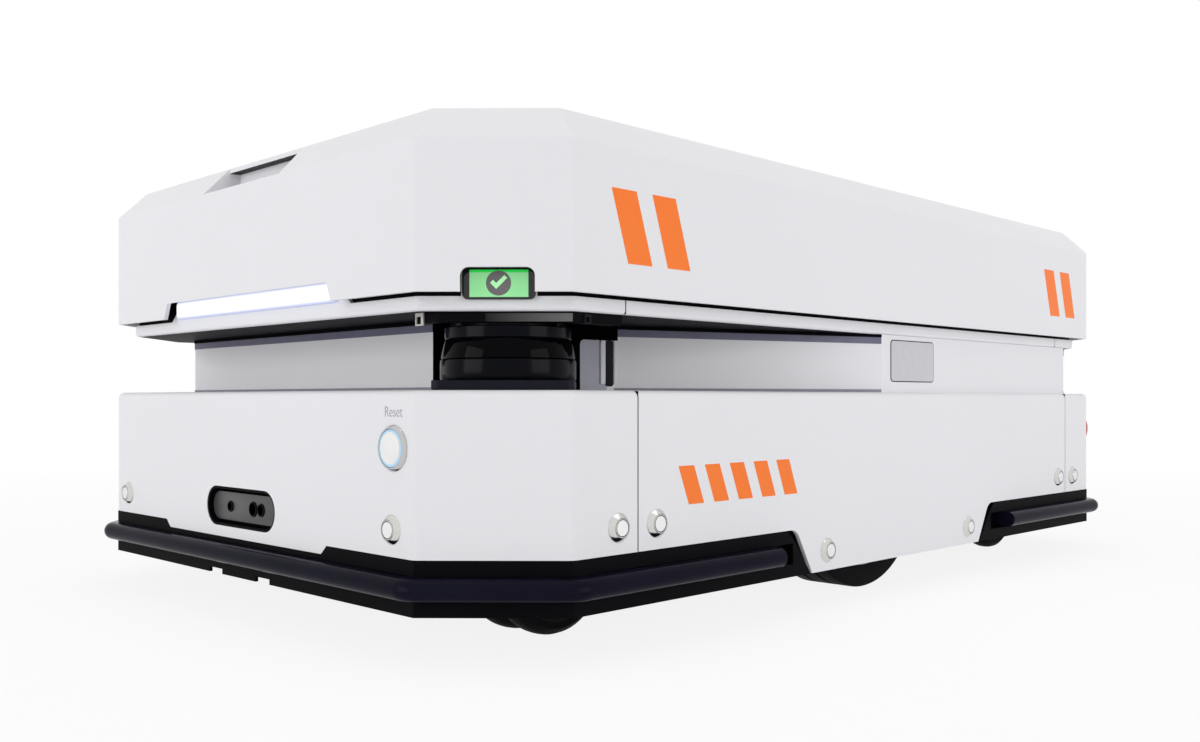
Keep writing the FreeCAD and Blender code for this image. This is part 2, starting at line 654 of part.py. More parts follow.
def caster_plates():
    """Caster top plates with their bearing housings, bolted under the main plate."""
    plates = []
    for x, y, _ in caster_places().values():
        plate = box((x - 52, x + 52), (y - 42, y + 42), (146, MAIN_PLATE[0]))
        housing = cylinder(30, (x, y, CROWN[1]), (x, y, 146))
        bore = cylinder(KINGPIN_R + RUN_FIT, (x, y, CROWN[1] - 1), (x, y, KINGPIN_TOP + 0.5))
        plates.append(join([plate, housing]).cut(bore))
    return group(plates)


def caster_fork(x, y, trail_side):
    """Crown, kingpin, the leg between the wheels and the axle through it."""
    axle_x = x + trail_side * CASTER_TRAIL
    crown = cylinder(34, (x, y, CROWN[0]), (x, y, CROWN[1]))
    kingpin = cylinder(KINGPIN_R, (x, y, CROWN[1]), (x, y, KINGPIN_TOP))
    leg_outline = [(x - trail_side * 24, CROWN[0]), (x + trail_side * 30, CROWN[0]),
                   (axle_x + trail_side * 12, CASTER_WHEEL_R - 12),
                   (axle_x - trail_side * 12, CASTER_WHEEL_R - 12)]
    leg = side_plate(leg_outline, y - 5, y + 5)
    reach = CASTER_WHEEL_OFFSET + CASTER_WHEEL_WIDTH / 2 + 3
    axle = cylinder(AXLE_R, (axle_x, y - reach, CASTER_WHEEL_R),
                    (axle_x, y + reach, CASTER_WHEEL_R))
    return join([crown, kingpin, leg, axle])


def caster_wheel(x, y):
    """One caster wheel on an axle along y: flat sides and a bevelled tread."""
    half = CASTER_WHEEL_WIDTH / 2
    bore = AXLE_R + RUN_FIT
    profile = [(bore, -half), (CASTER_WHEEL_R - 6, -half), (CASTER_WHEEL_R, -half + 8),
               (CASTER_WHEEL_R, half - 8), (CASTER_WHEEL_R - 6, half), (bore, half)]
    return turned(profile, (x, y, CASTER_WHEEL_R), (0, 1, 0))


# --- scanners ------------------------------------------------------------------------------------

NECK_R = 50.0                # inside of the scanner's window ring
SCANNER_FOOT_R = 58.4
SCANNER_HEAD_R = 54.5
WINDOW_LOW = 246.0
WINDOW_HIGH = 263.0
TRAY_TOP = 231.0
TRAY_WIDTH = 116.0
TRAY_REACH = 71.0            # from the scanner's axis to the tray's edge at the cut corner


def scanner_body():
    """Front safety scanner: tray square to the cut corner, turned foot, neck and head."""
    half = TRAY_WIDTH / 2
    tray = box((-half, TRAY_REACH), (-half, half), (COVER_TOP, TRAY_TOP))
    tray = round_edges(tray, 8.0, upright)
    tray.rotate(vec(0, 0, 0), vec(0, 0, 1), 45)
    tray.translate(vec(SCANNER_X, SCANNER_Y, 0))
    tray = tray.cut(waist_prism(0, 0, DECK_TOP))
    housing = [(0, TRAY_TOP), (SCANNER_FOOT_R, TRAY_TOP), (SCANNER_FOOT_R, WINDOW_LOW),
               (NECK_R, WINDOW_LOW), (NECK_R, WINDOW_HIGH), (SCANNER_HEAD_R, WINDOW_HIGH),
               (SCANNER_HEAD_R, COLLAR_BOTTOM), (0, COLLAR_BOTTOM)]
    return join([tray, turned(housing, (SCANNER_X, SCANNER_Y, 0), (0, 0, 1))])


def scanner_window():
    """Dark ring lens of the front scanner, wider at its foot."""
    profile = [(NECK_R, WINDOW_LOW), (SCANNER_FOOT_R - 0.8, WINDOW_LOW),
               (SCANNER_HEAD_R - 0.3, WINDOW_HIGH), (NECK_R, WINDOW_HIGH)]
    return turned(profile, (SCANNER_X, SCANNER_Y, 0), (0, 0, 1))


# --- lights, display, camera and buttons -----------------------------------------------------------

RESET_R = 15.4
RESET_SLEEVE_R = 17.0
STOP_Z = 170.0
STOP_SLEEVE_R = 11.0
STOP_STEM_R = 8.0


def light_bar():
    """Front light bar: a long lens with round corners on the collar's raised tab."""
    face = BODY_LENGTH / 2 - COLLAR_INSET
    front = face + 3.0
    lens = box((face, front), (-LIGHT_HALF, LIGHT_HALF), (LIGHT_LOW, LIGHT_HIGH))
    return round_edges(lens, 6.0, lambda edge: edge.BoundBox.XLength > 1)


def display_housing():
    """Black display case on its tab, with a recess for the screen."""
    half = DISPLAY_WIDTH / 2
    case = box((0, 3), (DISPLAY_SHIFT - half, DISPLAY_SHIFT + half), (DISPLAY_LOW, DISPLAY_HIGH))
    case = round_edges(case, 5.0, lambda edge: edge.BoundBox.XLength > 1)
    return on_corner(case, 1, 1, COLLAR_CORNER_INSET).cut(display_screen())


def display_screen():
    """Glass of the status display."""
    half = DISPLAY_WIDTH / 2 - 6
    pane = box((2, 3), (DISPLAY_SHIFT - half, DISPLAY_SHIFT + half),
               (DISPLAY_LOW + 2, DISPLAY_HIGH - 2))
    return on_corner(pane, 1, 1, COLLAR_CORNER_INSET)


def depth_camera():
    """Camera module behind an oblong window: rim and recessed bar."""
    front = BODY_LENGTH / 2
    rim = stadium(CAMERA_Y, CAMERA_Z, CAMERA_LENGTH, CAMERA_HEIGHT, front - 14, front - 0.6)
    room = stadium(CAMERA_Y, CAMERA_Z, CAMERA_LENGTH - 5, CAMERA_HEIGHT - 5, front - 12, front)
    bar = box((front - 12, front - 5), (CAMERA_Y - 50, CAMERA_Y + 50),
              (CAMERA_Z - 14, CAMERA_Z + 14))
    return join([rim.cut(room), bar])


def reset_bezel():
    """Chromed switch body: bevelled ring outside and a sleeve through the cover."""
    profile = [(RESET_R + 0.3, -12), (RESET_SLEEVE_R, -12), (RESET_SLEEVE_R, 0), (19, 0),
               (19, 1), (16.7, 3.8), (RESET_R + 0.3, 3.8)]
    return turned(profile, (BODY_LENGTH / 2, BUTTON_Y, BUTTON_Z), (1, 0, 0))


def reset_button():
    """Sprung cap of the reset switch, with a ring groove for its light."""
    profile = [(0, -10), (RESET_R, -10), (RESET_R, 3.4), (12.6, 3.4), (12.4, 3.8), (0, 3.8)]
    return turned(profile, (BODY_LENGTH / 2, BUTTON_Y, BUTTON_Z), (1, 0, 0))


def stop_button_base():
    """Collar of the emergency stop on the rear left corner."""
    profile = [(STOP_STEM_R + RUN_FIT, -14), (STOP_SLEEVE_R, -14), (STOP_SLEEVE_R, 0), (21, 0),
               (21, 2), (17, 6), (STOP_STEM_R + RUN_FIT, 6)]
    return on_corner(turned(profile, (0, 0, STOP_Z), (1, 0, 0)), -1, 1)


def stop_button():
    """Mushroom head and stem of the emergency stop."""
    profile = [(0, -12), (STOP_STEM_R, -12), (STOP_STEM_R, 11), (20, 11), (20, 18), (15, 23),
               (0, 24)]
    return on_corner(turned(profile, (0, 0, STOP_Z), (1, 0, 0)), -1, 1)


# --- power and control ------------------------------------------------------------------------------

def battery_pack():
    """Battery in its case, on the main plate in front of the drive units."""
    case = box((95, 285), (-180, 180), (MAIN_PLATE[1], 320))
    case = round_edges(case, 10.0, upright)
    lid = box((91, 289), (-184, 184), (300, 308))
    handle = box((170, 210), (-60, 60), (320, 338)).cut(box((160, 220), (-48, 48), (320, 330)))
    return join([case, lid, handle])


def control_unit():
    """Controller box with a finned lid, behind the drive units."""
    case = box((-285, -95), (-170, 170), (MAIN_PLATE[1], 290))
    fins = [box((-280, -100), (y - 3, y + 3), (290, 312)) for y in range(-150, 151, 30)]
    return join([case] + fins)


# --- write every sub-part -------------------------------------------------------------------------------

def main():
    os.makedirs("parts", exist_ok=True)

    save("chassis_frame", chassis_frame())
    save("upper_tub", upper_tub())
    save("caster_plates", caster_plates())
    save("battery_pack", battery_pack())
    save("control_unit", control_unit())
    save("lift_motors", lift_motors())

    for place, piece in lower_covers().items():
        save("%s_cover" % place, piece)
    for place, piece in collar_pieces().items():
        save("%s_collar" % place, piece)
    save("front_waist_panel", waist_panel())
    save("rear_waist_panel", half_turn(waist_panel()))
    save("soffit_plate", soffit_plate())

    save("front_skirt", front_skirt())
    save("rear_skirt", other_end(front_skirt()))
    save("front_bumper", front_bumper())
    save("rear_bumper", other_end(front_bumper()))

    save("front_scanner_body", scanner_body())
    save("rear_scanner_body", half_turn(scanner_body()))
    save("front_scanner_window", scanner_window())
    save("rear_scanner_window", half_turn(scanner_window()))
    save("front_light_bar", light_bar())
    save("rear_light_bar", half_turn(light_bar()))
    save("display_housing", display_housing())
    save("display_screen", display_screen())
    save("depth_camera", depth_camera())
    save("reset_bezel", reset_bezel())
    save("reset_button", reset_button())
    save("stop_button_base", stop_button_base())
    save("stop_button", stop_button())

    save("deck_cover", deck_cover())
    save("lift_frame", lift_frame())
    save("guide_rods", guide_rods())
    save("front_lift_screw", lift_screw(SCREW_X))
    save("rear_lift_screw", lift_screw(-SCREW_X))

    for side, place in ((1, "left"), (-1, "right")):
        for name, make in (("drive_arm", drive_arm), ("gearmotor", gearmotor),
                           ("drive_wheel", drive_wheel), ("spring", suspension_spring)):
            piece = make()
            if side < 0:
                piece = other_side(piece)
            save("%s_%s" % (place, name), piece)

    for place, (x, y, trail_side) in caster_places().items():
        save("%s_fork" % place, caster_fork(x, y, trail_side))
        axle_x = x + trail_side * CASTER_TRAIL
        for step, which in ((1, "left"), (-1, "right")):
            wheel = caster_wheel(axle_x, y + step * CASTER_WHEEL_OFFSET)
            save("%s_caster_%s_wheel" % (place, which), wheel)


main()
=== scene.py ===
import math

import bmesh
import bpy
from mathutils import Matrix, Vector


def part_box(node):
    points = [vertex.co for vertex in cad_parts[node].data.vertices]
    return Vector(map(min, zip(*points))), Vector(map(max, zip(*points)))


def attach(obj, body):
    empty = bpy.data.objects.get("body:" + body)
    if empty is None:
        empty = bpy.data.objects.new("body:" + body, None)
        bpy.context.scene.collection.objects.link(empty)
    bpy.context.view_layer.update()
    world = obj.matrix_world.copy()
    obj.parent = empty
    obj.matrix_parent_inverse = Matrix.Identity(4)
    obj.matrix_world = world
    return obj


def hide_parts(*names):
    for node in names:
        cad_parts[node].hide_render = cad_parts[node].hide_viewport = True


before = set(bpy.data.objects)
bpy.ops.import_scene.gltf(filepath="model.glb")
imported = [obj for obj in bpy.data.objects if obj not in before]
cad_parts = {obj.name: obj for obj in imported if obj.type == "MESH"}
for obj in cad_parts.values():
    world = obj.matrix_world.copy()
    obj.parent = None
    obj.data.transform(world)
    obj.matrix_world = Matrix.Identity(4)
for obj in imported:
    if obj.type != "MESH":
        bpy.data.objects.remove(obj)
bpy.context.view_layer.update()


# --- White covers and deck ------------------------------------------------------------
# Vacuum-formed ABS panels with a fine spark-eroded grain and a satin sheen. The
# deck is one lid that lifts, and the lower panels stand on the black skirt.

def linear(code):
    """Linear colour of an sRGB hex value."""
    channels = [int(code[i:i + 2], 16) / 255 for i in (1, 3, 5)]
    return [c / 12.92 if c <= 0.04045 else ((c + 0.055) / 1.055) ** 2.4 for c in channels] + [1]


def add(tree, kind, settings=None, **inputs):
    """Add a node. A socket given as an input is linked, and anything else is its value."""
    node = tree.nodes.new(kind)
    for name, value in (settings or {}).items():
        setattr(node, name, value)
    for name, value in inputs.items():
        socket = node.inputs[int(name[1:])] if name[0] == "i" and name[1:].isdigit() \
            else node.inputs[name.replace("_", " ")]
        if isinstance(value, bpy.types.NodeSocket):
            tree.links.new(value, socket)
        else:
            socket.default_value = value
    return node


def new_material(name, colour, roughness, metallic=0.0, specular=0.5):
    """Material with one Principled shader. Returns the material, its tree and the shader."""
    material = bpy.data.materials.new(name)
    material.use_nodes = True
    material.diffuse_color = linear(colour)
    tree = material.node_tree
    shader = tree.nodes["Principled BSDF"]
    shader.inputs["Base Color"].default_value = linear(colour)
    shader.inputs["Roughness"].default_value = roughness
    shader.inputs["Metallic"].default_value = metallic
    shader.inputs["Specular IOR Level"].default_value = specular
    return material, tree, shader


def vary(tree, shader, low, high, size, stretch=(1, 1, 1)):
    """Drift the colour between two hex values in soft patches of a size in metres."""
    place = add(tree, "ShaderNodeTexCoord")
    scaled = add(tree, "ShaderNodeMapping", Vector=place.outputs["Object"], Scale=stretch)
    patches = add(tree, "ShaderNodeTexNoise", Vector=scaled.outputs["Vector"],
                  Scale=1 / size, Detail=3.0, Roughness=0.5)
    blend = add(tree, "ShaderNodeMix", {"data_type": "RGBA"}, Factor=patches.outputs["Fac"],
                i6=linear(low), i7=linear(high))
    tree.links.new(blend.outputs[2], shader.inputs["Base Color"])


def roughen(tree, shader, grain, depth, low, high):
    """Give the surface a grain of a size and depth in metres, and a spread of roughness.
    A real grain finer than about 1 mm is drawn at 1 mm or more, so that it shows."""
    place = add(tree, "ShaderNodeTexCoord")
    noise = add(tree, "ShaderNodeTexNoise", Vector=place.outputs["Object"],
                Scale=1 / grain, Detail=2.0)
    spread = add(tree, "ShaderNodeMapRange", Value=noise.outputs["Fac"],
                 To_Min=low, To_Max=high)
    bump = add(tree, "ShaderNodeBump", Height=noise.outputs["Fac"], Strength=0.5,
               Distance=depth)
    tree.links.new(spread.outputs["Result"], shader.inputs["Roughness"])
    tree.links.new(bump.outputs["Normal"], shader.inputs["Normal"])


def dress(node, *materials):
    """Give a CAD node its materials in place of the frame's plain ones."""
    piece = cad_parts[node]
    piece.data.materials.clear()
    for material in materials:
        piece.data.materials.append(material)
    return piece


# Grained ABS gives a soft, broad sheen and no sharp reflection. The real grain is
# about 0.1 mm and is drawn at 2 mm, so that it shows.
white_abs, tree, shader = new_material("textured white ABS", "#eaeaed", 0.5, specular=0.2)
vary(tree, shader, "#e9e9ec", "#eeeef1", 0.35)
roughen(tree, shader, 0.002, 0.00003, 0.40, 0.52)

for place in ("front", "rear", "left", "right"):
    dress(place + "_cover", white_abs)
    dress(place + "_collar", white_abs)

# Painted shade: the downward faces of each hand recess are drawn as a dark satin face that just
# keeps its blue, for the shade under the deck's edge. Grain drawn at 2 mm.
recess_painted_shade, tree, shader = new_material("navy-black painted shade in the hand recess", "#191921", 0.5, specular=0.1)
vary(tree, shader, "#15151c", "#1e1e28", 0.03)
roughen(tree, shader, 0.002, 0.00003, 0.42, 0.55)

# The hand recesses in the deck's ends: half width, where they start and their roof.
recess_half, recess_start, recess_roof = 0.09, 0.55, 0.44
deck = dress("deck_cover", white_abs, recess_painted_shade)
# Downward faces inside each hand recess take the painted shade.
for polygon in deck.data.polygons:
    spot = polygon.center
    polygon.material_index = int(polygon.normal.z < -0.5 and abs(spot.y) < recess_half
                                 and abs(spot.x) > recess_start and spot.z > recess_roof)


# --- Black skirt, soffit and tub ------------------------------------------------------
# Injection-moulded black ABS with a satin grain. The skirt clips under the covers,
# and the tub and the soffit close the dark gap under the deck.

# Satin ABS gives a near black with a faint haze where light grazes it. The real
# grain is about 0.1 mm and is drawn at 1.5 mm.
black_abs, tree, shader = new_material("satin black ABS", "#0b0b0d", 0.5, specular=0.02)
vary(tree, shader, "#09090b", "#101013", 0.08)
roughen(tree, shader, 0.0015, 0.00004, 0.42, 0.58)

for node in ("front_skirt", "rear_skirt", "soffit_plate", "upper_tub"):
    dress(node, black_abs)


# --- Waist wall -----------------------------------------------------------------------
# White ABS wall behind the scan slot. The pocket round each scanner is the same
# wall with a black flocked lining, which keeps stray light off the scanner.

# Flock swallows light, so the pocket reads as a black hole.
lining, tree, shader = new_material("black flock lining", "#060607", 0.95, specular=0.0)
vary(tree, shader, "#040405", "#09090b", 0.02)

pocket_start, pocket_low_y, pocket_high_y = 0.41, 0.185, 0.2465
for node, end in (("front_waist_panel", 1), ("rear_waist_panel", -1)):
    wall = dress(node, white_abs, lining)
    for polygon in wall.data.polygons:
        x, y = polygon.center.x * end, polygon.center.y * end
        polygon.material_index = int(x > pocket_start and pocket_low_y < y < pocket_high_y)


# --- Bumpers --------------------------------------------------------------------------
# Extruded rubber rail with a smooth skin that runs blue-black where it is polished.
# It is pressed into the skirt's channel round each end of the robot.

# Skinned rubber gives a blue-black with a long soft sheen. Slow 6 mm waves break it.
rubber, tree, shader = new_material("smooth blue-black rubber", "#13121f", 0.3, specular=0.03)
vary(tree, shader, "#0f0e19", "#191828", 0.05, (1, 1, 0.3))
roughen(tree, shader, 0.006, 0.00006, 0.12, 0.22)

for node in ("front_bumper", "rear_bumper"):
    dress(node, rubber)


# --- Frame, drive and lift under the covers -------------------------------------------
# Black powder-coated steel weldment, painted iron arms, zinc-plated caster forks,
# ground rods and screws, anodised motor housings and the battery's coated case.

# Powder coat has an orange-peel skin, 1.2 mm from hill to hill, that breaks up light.
powder_coat, tree, shader = new_material("black powder-coated steel", "#141416", 0.5, specular=0.2)
roughen(tree, shader, 0.0012, 0.00005, 0.45, 0.62)

# Paint over cast iron gives a dull grey over 3 mm lumps from the sand mould.
painted_iron, tree, shader = new_material("grey painted cast iron", "#3a3b3e", 0.6)
vary(tree, shader, "#343538", "#434448", 0.03)
roughen(tree, shader, 0.003, 0.0002, 0.5, 0.7)

# Zinc plate gives a cloudy silver, in patches of about 12 mm.
zinc, tree, shader = new_material("zinc-plated pressed steel", "#a9abb0", 0.35, 1.0)
vary(tree, shader, "#9da0a6", "#b6b7ba", 0.012)
roughen(tree, shader, 0.004, 0.00003, 0.28, 0.42)

# Ground steel gives a bright metal with bands from the wheel. The real scratches
# are about 0.02 mm and are drawn at 1 mm.
ground_steel, tree, shader = new_material("ground hardened steel", "#b4b6ba", 0.18, 1.0)
vary(tree, shader, "#acaeb3", "#bcbdc1", 0.004, (1, 1, 8))
roughen(tree, shader, 0.001, 0.00001, 0.12, 0.26)

# Anodised aluminium gives an even grey metal with a wide, soft reflection.
anodised, tree, shader = new_material("grey anodised aluminium", "#85878c", 0.4, 1.0)
vary(tree, shader, "#7d7f85", "#8e9095", 0.02)
roughen(tree, shader, 0.002, 0.00002, 0.35, 0.48)

# A coating on sheet steel gives a dark grey with a low sheen.
coated_case, tree, shader = new_material("grey coated sheet steel", "#3c4045", 0.5)
vary(tree, shader, "#373b40", "#44484d", 0.06)
roughen(tree, shader, 0.002, 0.00004, 0.42, 0.58)

# Cast polyurethane gives an amber that is a little cloudy and a little glossy.
urethane, tree, shader = new_material("amber cast polyurethane", "#a8641f", 0.4)
vary(tree, shader, "#9c5a1b", "#b46f28", 0.01)
roughen(tree, shader, 0.003, 0.00003, 0.32, 0.46)

for node in ("chassis_frame", "lift_frame", "caster_plates"):
    dress(node, powder_coat)
for side in ("left", "right"):
    dress(side + "_drive_arm", painted_iron)
    dress(side + "_gearmotor", anodised)
    dress(side + "_spring", urethane)
for node in ("guide_rods", "front_lift_screw", "rear_lift_screw"):
    dress(node, ground_steel)
dress("lift_motors", anodised)
dress("control_unit", anodised)
dress("battery_pack", coated_case)


# --- Drive wheels and casters ---------------------------------------------------------
# Drive wheels: cast aluminium hubs with a grooved polyurethane tyre bonded on. Casters:
# twin wheels with a dark tread on a black nylon centre, on zinc-plated forks.

# A polyurethane tyre gives a dull black, scuffed unevenly by the floor.
tyre, tree, shader = new_material("black polyurethane tyre", "#0e0e10", 0.6, specular=0.03)
vary(tree, shader, "#0c0c0e", "#141417", 0.03)
roughen(tree, shader, 0.002, 0.0001, 0.5, 0.72)

# Cast aluminium gives a pale, dull metal with a fine rough skin, drawn at 3 mm.
cast_hub, tree, shader = new_material("cast aluminium hub", "#8d8f93", 0.42, 1.0)
vary(tree, shader, "#85878b", "#97999d", 0.015)
roughen(tree, shader, 0.003, 0.0001, 0.36, 0.52)

# Moulded nylon gives a black with a slight waxy sheen. Grain drawn at 2 mm.
nylon, tree, shader = new_material("black moulded nylon", "#19191b", 0.5, specular=0.05)
vary(tree, shader, "#161618", "#1e1e20", 0.02)
roughen(tree, shader, 0.002, 0.00005, 0.42, 0.58)


def settle(name, mesh, body, materials, smooth=True):
    """Make a finished mesh an object that rides on a body."""
    piece = bpy.data.objects.new(name, mesh)
    bpy.context.collection.objects.link(piece)
    for material in materials:
        mesh.materials.append(material)
    for polygon in mesh.polygons:
        polygon.use_smooth = smooth
    if smooth:
        mesh.set_sharp_from_angle(angle=math.radians(32))
    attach(piece, body)
    return piece


def turned(profile, base, axis, steps=96, paints=None):
    """Lathe mesh. The profile holds (radius, height) in metres along the axis from its
    base, bottom middle to top middle, and paints gives each stretch its material's place."""
    mesh = bmesh.new()
    rings = []
    for radius, height in profile:
        if radius == 0:
            rings.append([mesh.verts.new((0, 0, height))] * steps)
            continue
        ring = []
        for i in range(steps):
            angle = 2 * math.pi * i / steps
            ring.append(mesh.verts.new((radius * math.cos(angle), radius * math.sin(angle),
                                        height)))
        rings.append(ring)
    for stretch in range(len(profile) - 1):
        for i in range(steps):
            j = (i + 1) % steps
            corners = [rings[stretch][i], rings[stretch][j], rings[stretch + 1][j],
                       rings[stretch + 1][i]]
            face = mesh.faces.new(list(dict.fromkeys(corners)))
            if paints:
                face.material_index = paints[stretch]
    turn = Vector((0, 0, 1)).rotation_difference(Vector(axis)).to_matrix().to_4x4()
    mesh.transform(Matrix.Translation(Vector(base)) @ turn)
    bmesh.ops.recalc_face_normals(mesh, faces=mesh.faces)
    made = bpy.data.meshes.new("turned")
    mesh.to_mesh(made)
    mesh.free()
    return made


def middle(node):
    low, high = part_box(node)
    return (Vector(low) + Vector(high)) / 2


half = 0.030            # half the width of the tyre
shaft_r, boss_r = 0.0175, 0.034
tyre_edge_r, shoulder_r = 0.1215, 0.1240
for side, way in (("left", 1), ("right", -1)):
    node = side + "_drive_wheel"
    low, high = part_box(node)
    radius = (high[2] - low[2]) / 2
    outer = high[1] if way > 0 else low[1]
    centre_y = outer - way * half
    shaft_end = low[1] if way > 0 else high[1]
    depth = abs(shaft_end - centre_y)
    profile = [(0, -depth), (shaft_r, -depth), (shaft_r, -0.012), (boss_r, -0.012),
               (0.084, -0.008), (0.094, -half + 0.002), (0.100, -half + 0.001),
               (tyre_edge_r, -half), (shoulder_r, -half + 0.001), (radius, -half + 0.003)]
    paints = [1, 1, 1, 1, 1, 1, 0, 0, 0]
    for groove in (-0.010, 0.010):
        profile += [(radius, groove - 0.002), (radius - 0.003, groove - 0.001),
                    (radius - 0.003, groove + 0.001), (radius, groove + 0.002)]
        paints += [0, 0, 0, 0]
    profile += [(radius, half - 0.003), (shoulder_r, half - 0.001), (tyre_edge_r, half),
                (0.100, half - 0.001), (0.094, half - 0.002), (0.084, 0.014), (boss_r, 0.014),
                (0.032, half - 0.007), (0.029, half - 0.006), (0, half - 0.006)]
    paints += [0, 0, 0, 0, 1, 1, 1, 1, 1, 1]
    wheel = turned(profile, (0, centre_y, radius), (0, way, 0), 128, paints)
    piece = settle(side + "_wheel_and_tyre", wheel, side + "_wheel",
                   [tyre, cast_hub])
    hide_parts(node)

for end in ("front", "rear"):
    for side in ("left", "right"):
        dress("%s_%s_fork" % (end, side), zinc)
        for hand in ("left", "right"):
            node = "%s_%s_caster_%s_wheel" % (end, side, hand)
            centre = middle(node)
            profile = [(0.00605, -0.010), (0.014, -0.010), (0.018, -0.006), (0.040, -0.006),
                       (0.044, -0.012), (0.050, -0.014), (0.056, -0.014), (0.0605, -0.010),
                       (0.0622, -0.005), (0.0625, 0), (0.0622, 0.005), (0.0605, 0.010),
                       (0.056, 0.014), (0.050, 0.014), (0.044, 0.012), (0.040, 0.006),
                       (0.018, 0.006), (0.014, 0.010), (0.00605, 0.010), (0.00605, -0.010)]
            paints = [1] * 5 + [0] * 8 + [1] * 6
            piece = settle("%s_%s_tread_%s" % (end, side, hand),
                           turned(profile, centre, (0, 1, 0), 72, paints),
                           "%s_%s_roll_%s" % (end, side, hand), [tyre, nylon])
            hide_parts(node)


# --- Cover studs ----------------------------------------------------------------------
# Quarter-turn studs of turned stainless steel hold the covers. Each head has a bevel,
# a flat face and a fine groove round its middle, and seats flush on the panel.

# Turned stainless steel is near a mirror, so each bevel shows what it faces.
stainless, tree, shader = new_material("turned stainless steel", "#d2d1ce", 0.12, 1.0)
vary(tree, shader, "#cdccc9", "#d7d6d3", 0.05)
roughen(tree, shader, 0.02, 0.000001, 0.10, 0.14)

# A satin face scatters light, and stays pale and even.
satin_stainless, tree, shader = new_material("satin stainless steel", "#e4e4e5", 0.4, 1.0)
vary(tree, shader, "#e0e0e1", "#e8e8e9", 0.05)
roughen(tree, shader, 0.02, 0.000001, 0.38, 0.44)

# Painted shade: a thin dark ring in the turned groove round the face, where shade falls.
groove_shade, tree, shader = new_material("painted shade in the steel groove", "#26262a", 0.6, 1.0)
vary(tree, shader, "#212125", "#2c2c30", 0.01)

body_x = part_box("front_cover")[1][0]
body_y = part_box("left_cover")[1][1]
seam_x = (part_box("front_cover")[0][0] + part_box("left_cover")[1][0]) / 2
# Four studs at each corner: one on the end's face, and on the flank one either side of
# the seam and one low down. That is 16 in all.
stud_y, stud_z = 0.254, 0.107
low_stud_x, low_stud_z = 0.151, 0.060
stud_reach = 0.0236

stud_spots = []
for end in (-1, 1):
    for side in (-1, 1):
        stud_spots.append(((end * body_x, side * stud_y, stud_z), (end, 0, 0)))
        for step in (-1, 1):
            stud_spots.append(((end * (seam_x + step * stud_reach), side * body_y, stud_z),
                               (0, side, 0)))
        stud_spots.append(((end * low_stud_x, side * body_y, low_stud_z), (0, side, 0)))

stud_profile = [(0, -0.003), (0.004, -0.003), (0.004, 0), (0.0124, 0), (0.0124, 0.0003),
                (0.0121, 0.0008), (0.0088, 0.0043), (0.0086, 0.0045), (0.0082, 0.0045),
                (0.0081, 0.0047), (0.0074, 0.0047), (0.0073, 0.0042), (0.0068, 0.0042),
                (0.0067, 0.0046), (0.0064, 0.0048), (0, 0.0048)]
stud_paints = [0, 0, 0, 0, 0, 0, 0, 2, 0, 0, 2, 2, 2, 1, 1]
stud_mesh = turned(stud_profile, (0, 0, 0), (0, 0, 1), 32, stud_paints)
finish = stud_mesh.attributes.new("finish", "INT", "FACE")
for polygon in stud_mesh.polygons:
    finish.data[polygon.index].value = polygon.material_index
stud_head = bpy.data.objects.new("stud_head", stud_mesh)

spots = bpy.data.meshes.new("stud_spots")
spots.from_pydata([spot for spot, _ in stud_spots], [], [])
outward = spots.attributes.new("outward", "FLOAT_VECTOR", "POINT")
for i, (_, way) in enumerate(stud_spots):
    outward.data[i].vector = way

studs = bpy.data.node_groups.new("studs on their spots", "GeometryNodeTree")
studs.interface.new_socket("Geometry", in_out="INPUT", socket_type="NodeSocketGeometry")
head_input = studs.interface.new_socket("Head", in_out="INPUT", socket_type="NodeSocketObject")
scale_input = studs.interface.new_socket("Scale", in_out="INPUT", socket_type="NodeSocketFloat")
studs.interface.new_socket("Geometry", in_out="OUTPUT", socket_type="NodeSocketGeometry")
given = add(studs, "NodeGroupInput")
head = add(studs, "GeometryNodeObjectInfo", Object=given.outputs["Head"])
facing = add(studs, "GeometryNodeInputNamedAttribute", {"data_type": "FLOAT_VECTOR"},
             Name="outward")
turn = add(studs, "FunctionNodeAlignRotationToVector", {"axis": "Z"},
           Vector=facing.outputs["Attribute"])
set_out = add(studs, "GeometryNodeInstanceOnPoints", Points=given.outputs["Geometry"],
              Instance=head.outputs["Geometry"], Rotation=turn.outputs["Rotation"],
              Scale=given.outputs["Scale"])
real = add(studs, "GeometryNodeRealizeInstances", Geometry=set_out.outputs["Instances"])
painted = add(studs, "GeometryNodeSetMaterial", Geometry=real.outputs["Geometry"],
              Material=stainless)
face_finish = add(studs, "GeometryNodeInputNamedAttribute", {"data_type": "INT"},
                  Name="finish")
for number, material in ((1, satin_stainless), (2, groove_shade)):
    chosen = add(studs, "FunctionNodeCompare", {"data_type": "INT", "operation": "EQUAL"},
                 i2=face_finish.outputs["Attribute"], i3=number)
    painted = add(studs, "GeometryNodeSetMaterial", Geometry=painted.outputs["Geometry"],
                  Selection=chosen.outputs["Result"], Material=material)
add(studs, "NodeGroupOutput", Geometry=painted.outputs["Geometry"])

carrier = bpy.data.objects.new("stud_carrier", spots)
bpy.context.collection.objects.link(carrier)
modifier = carrier.modifiers.new("studs", "NODES")
modifier.node_group = studs
modifier[head_input.identifier] = stud_head
modifier[scale_input.identifier] = 1.0
evaluated = carrier.evaluated_get(bpy.context.evaluated_depsgraph_get())
stud_mesh = bpy.data.meshes.new_from_object(evaluated)
stud_mesh.attributes.remove(stud_mesh.attributes["finish"])
bpy.data.objects.remove(carrier)
bpy.data.objects.remove(stud_head)
settle("cover_studs", stud_mesh, "chassis", [])


# --- Safety scanners ------------------------------------------------------------------
# Two laser scanners in gloss navy housings, one in each pocket: a tray square to the cut
# corner, a turned foot, a dark window that leans inwards, and a head under the soffit.

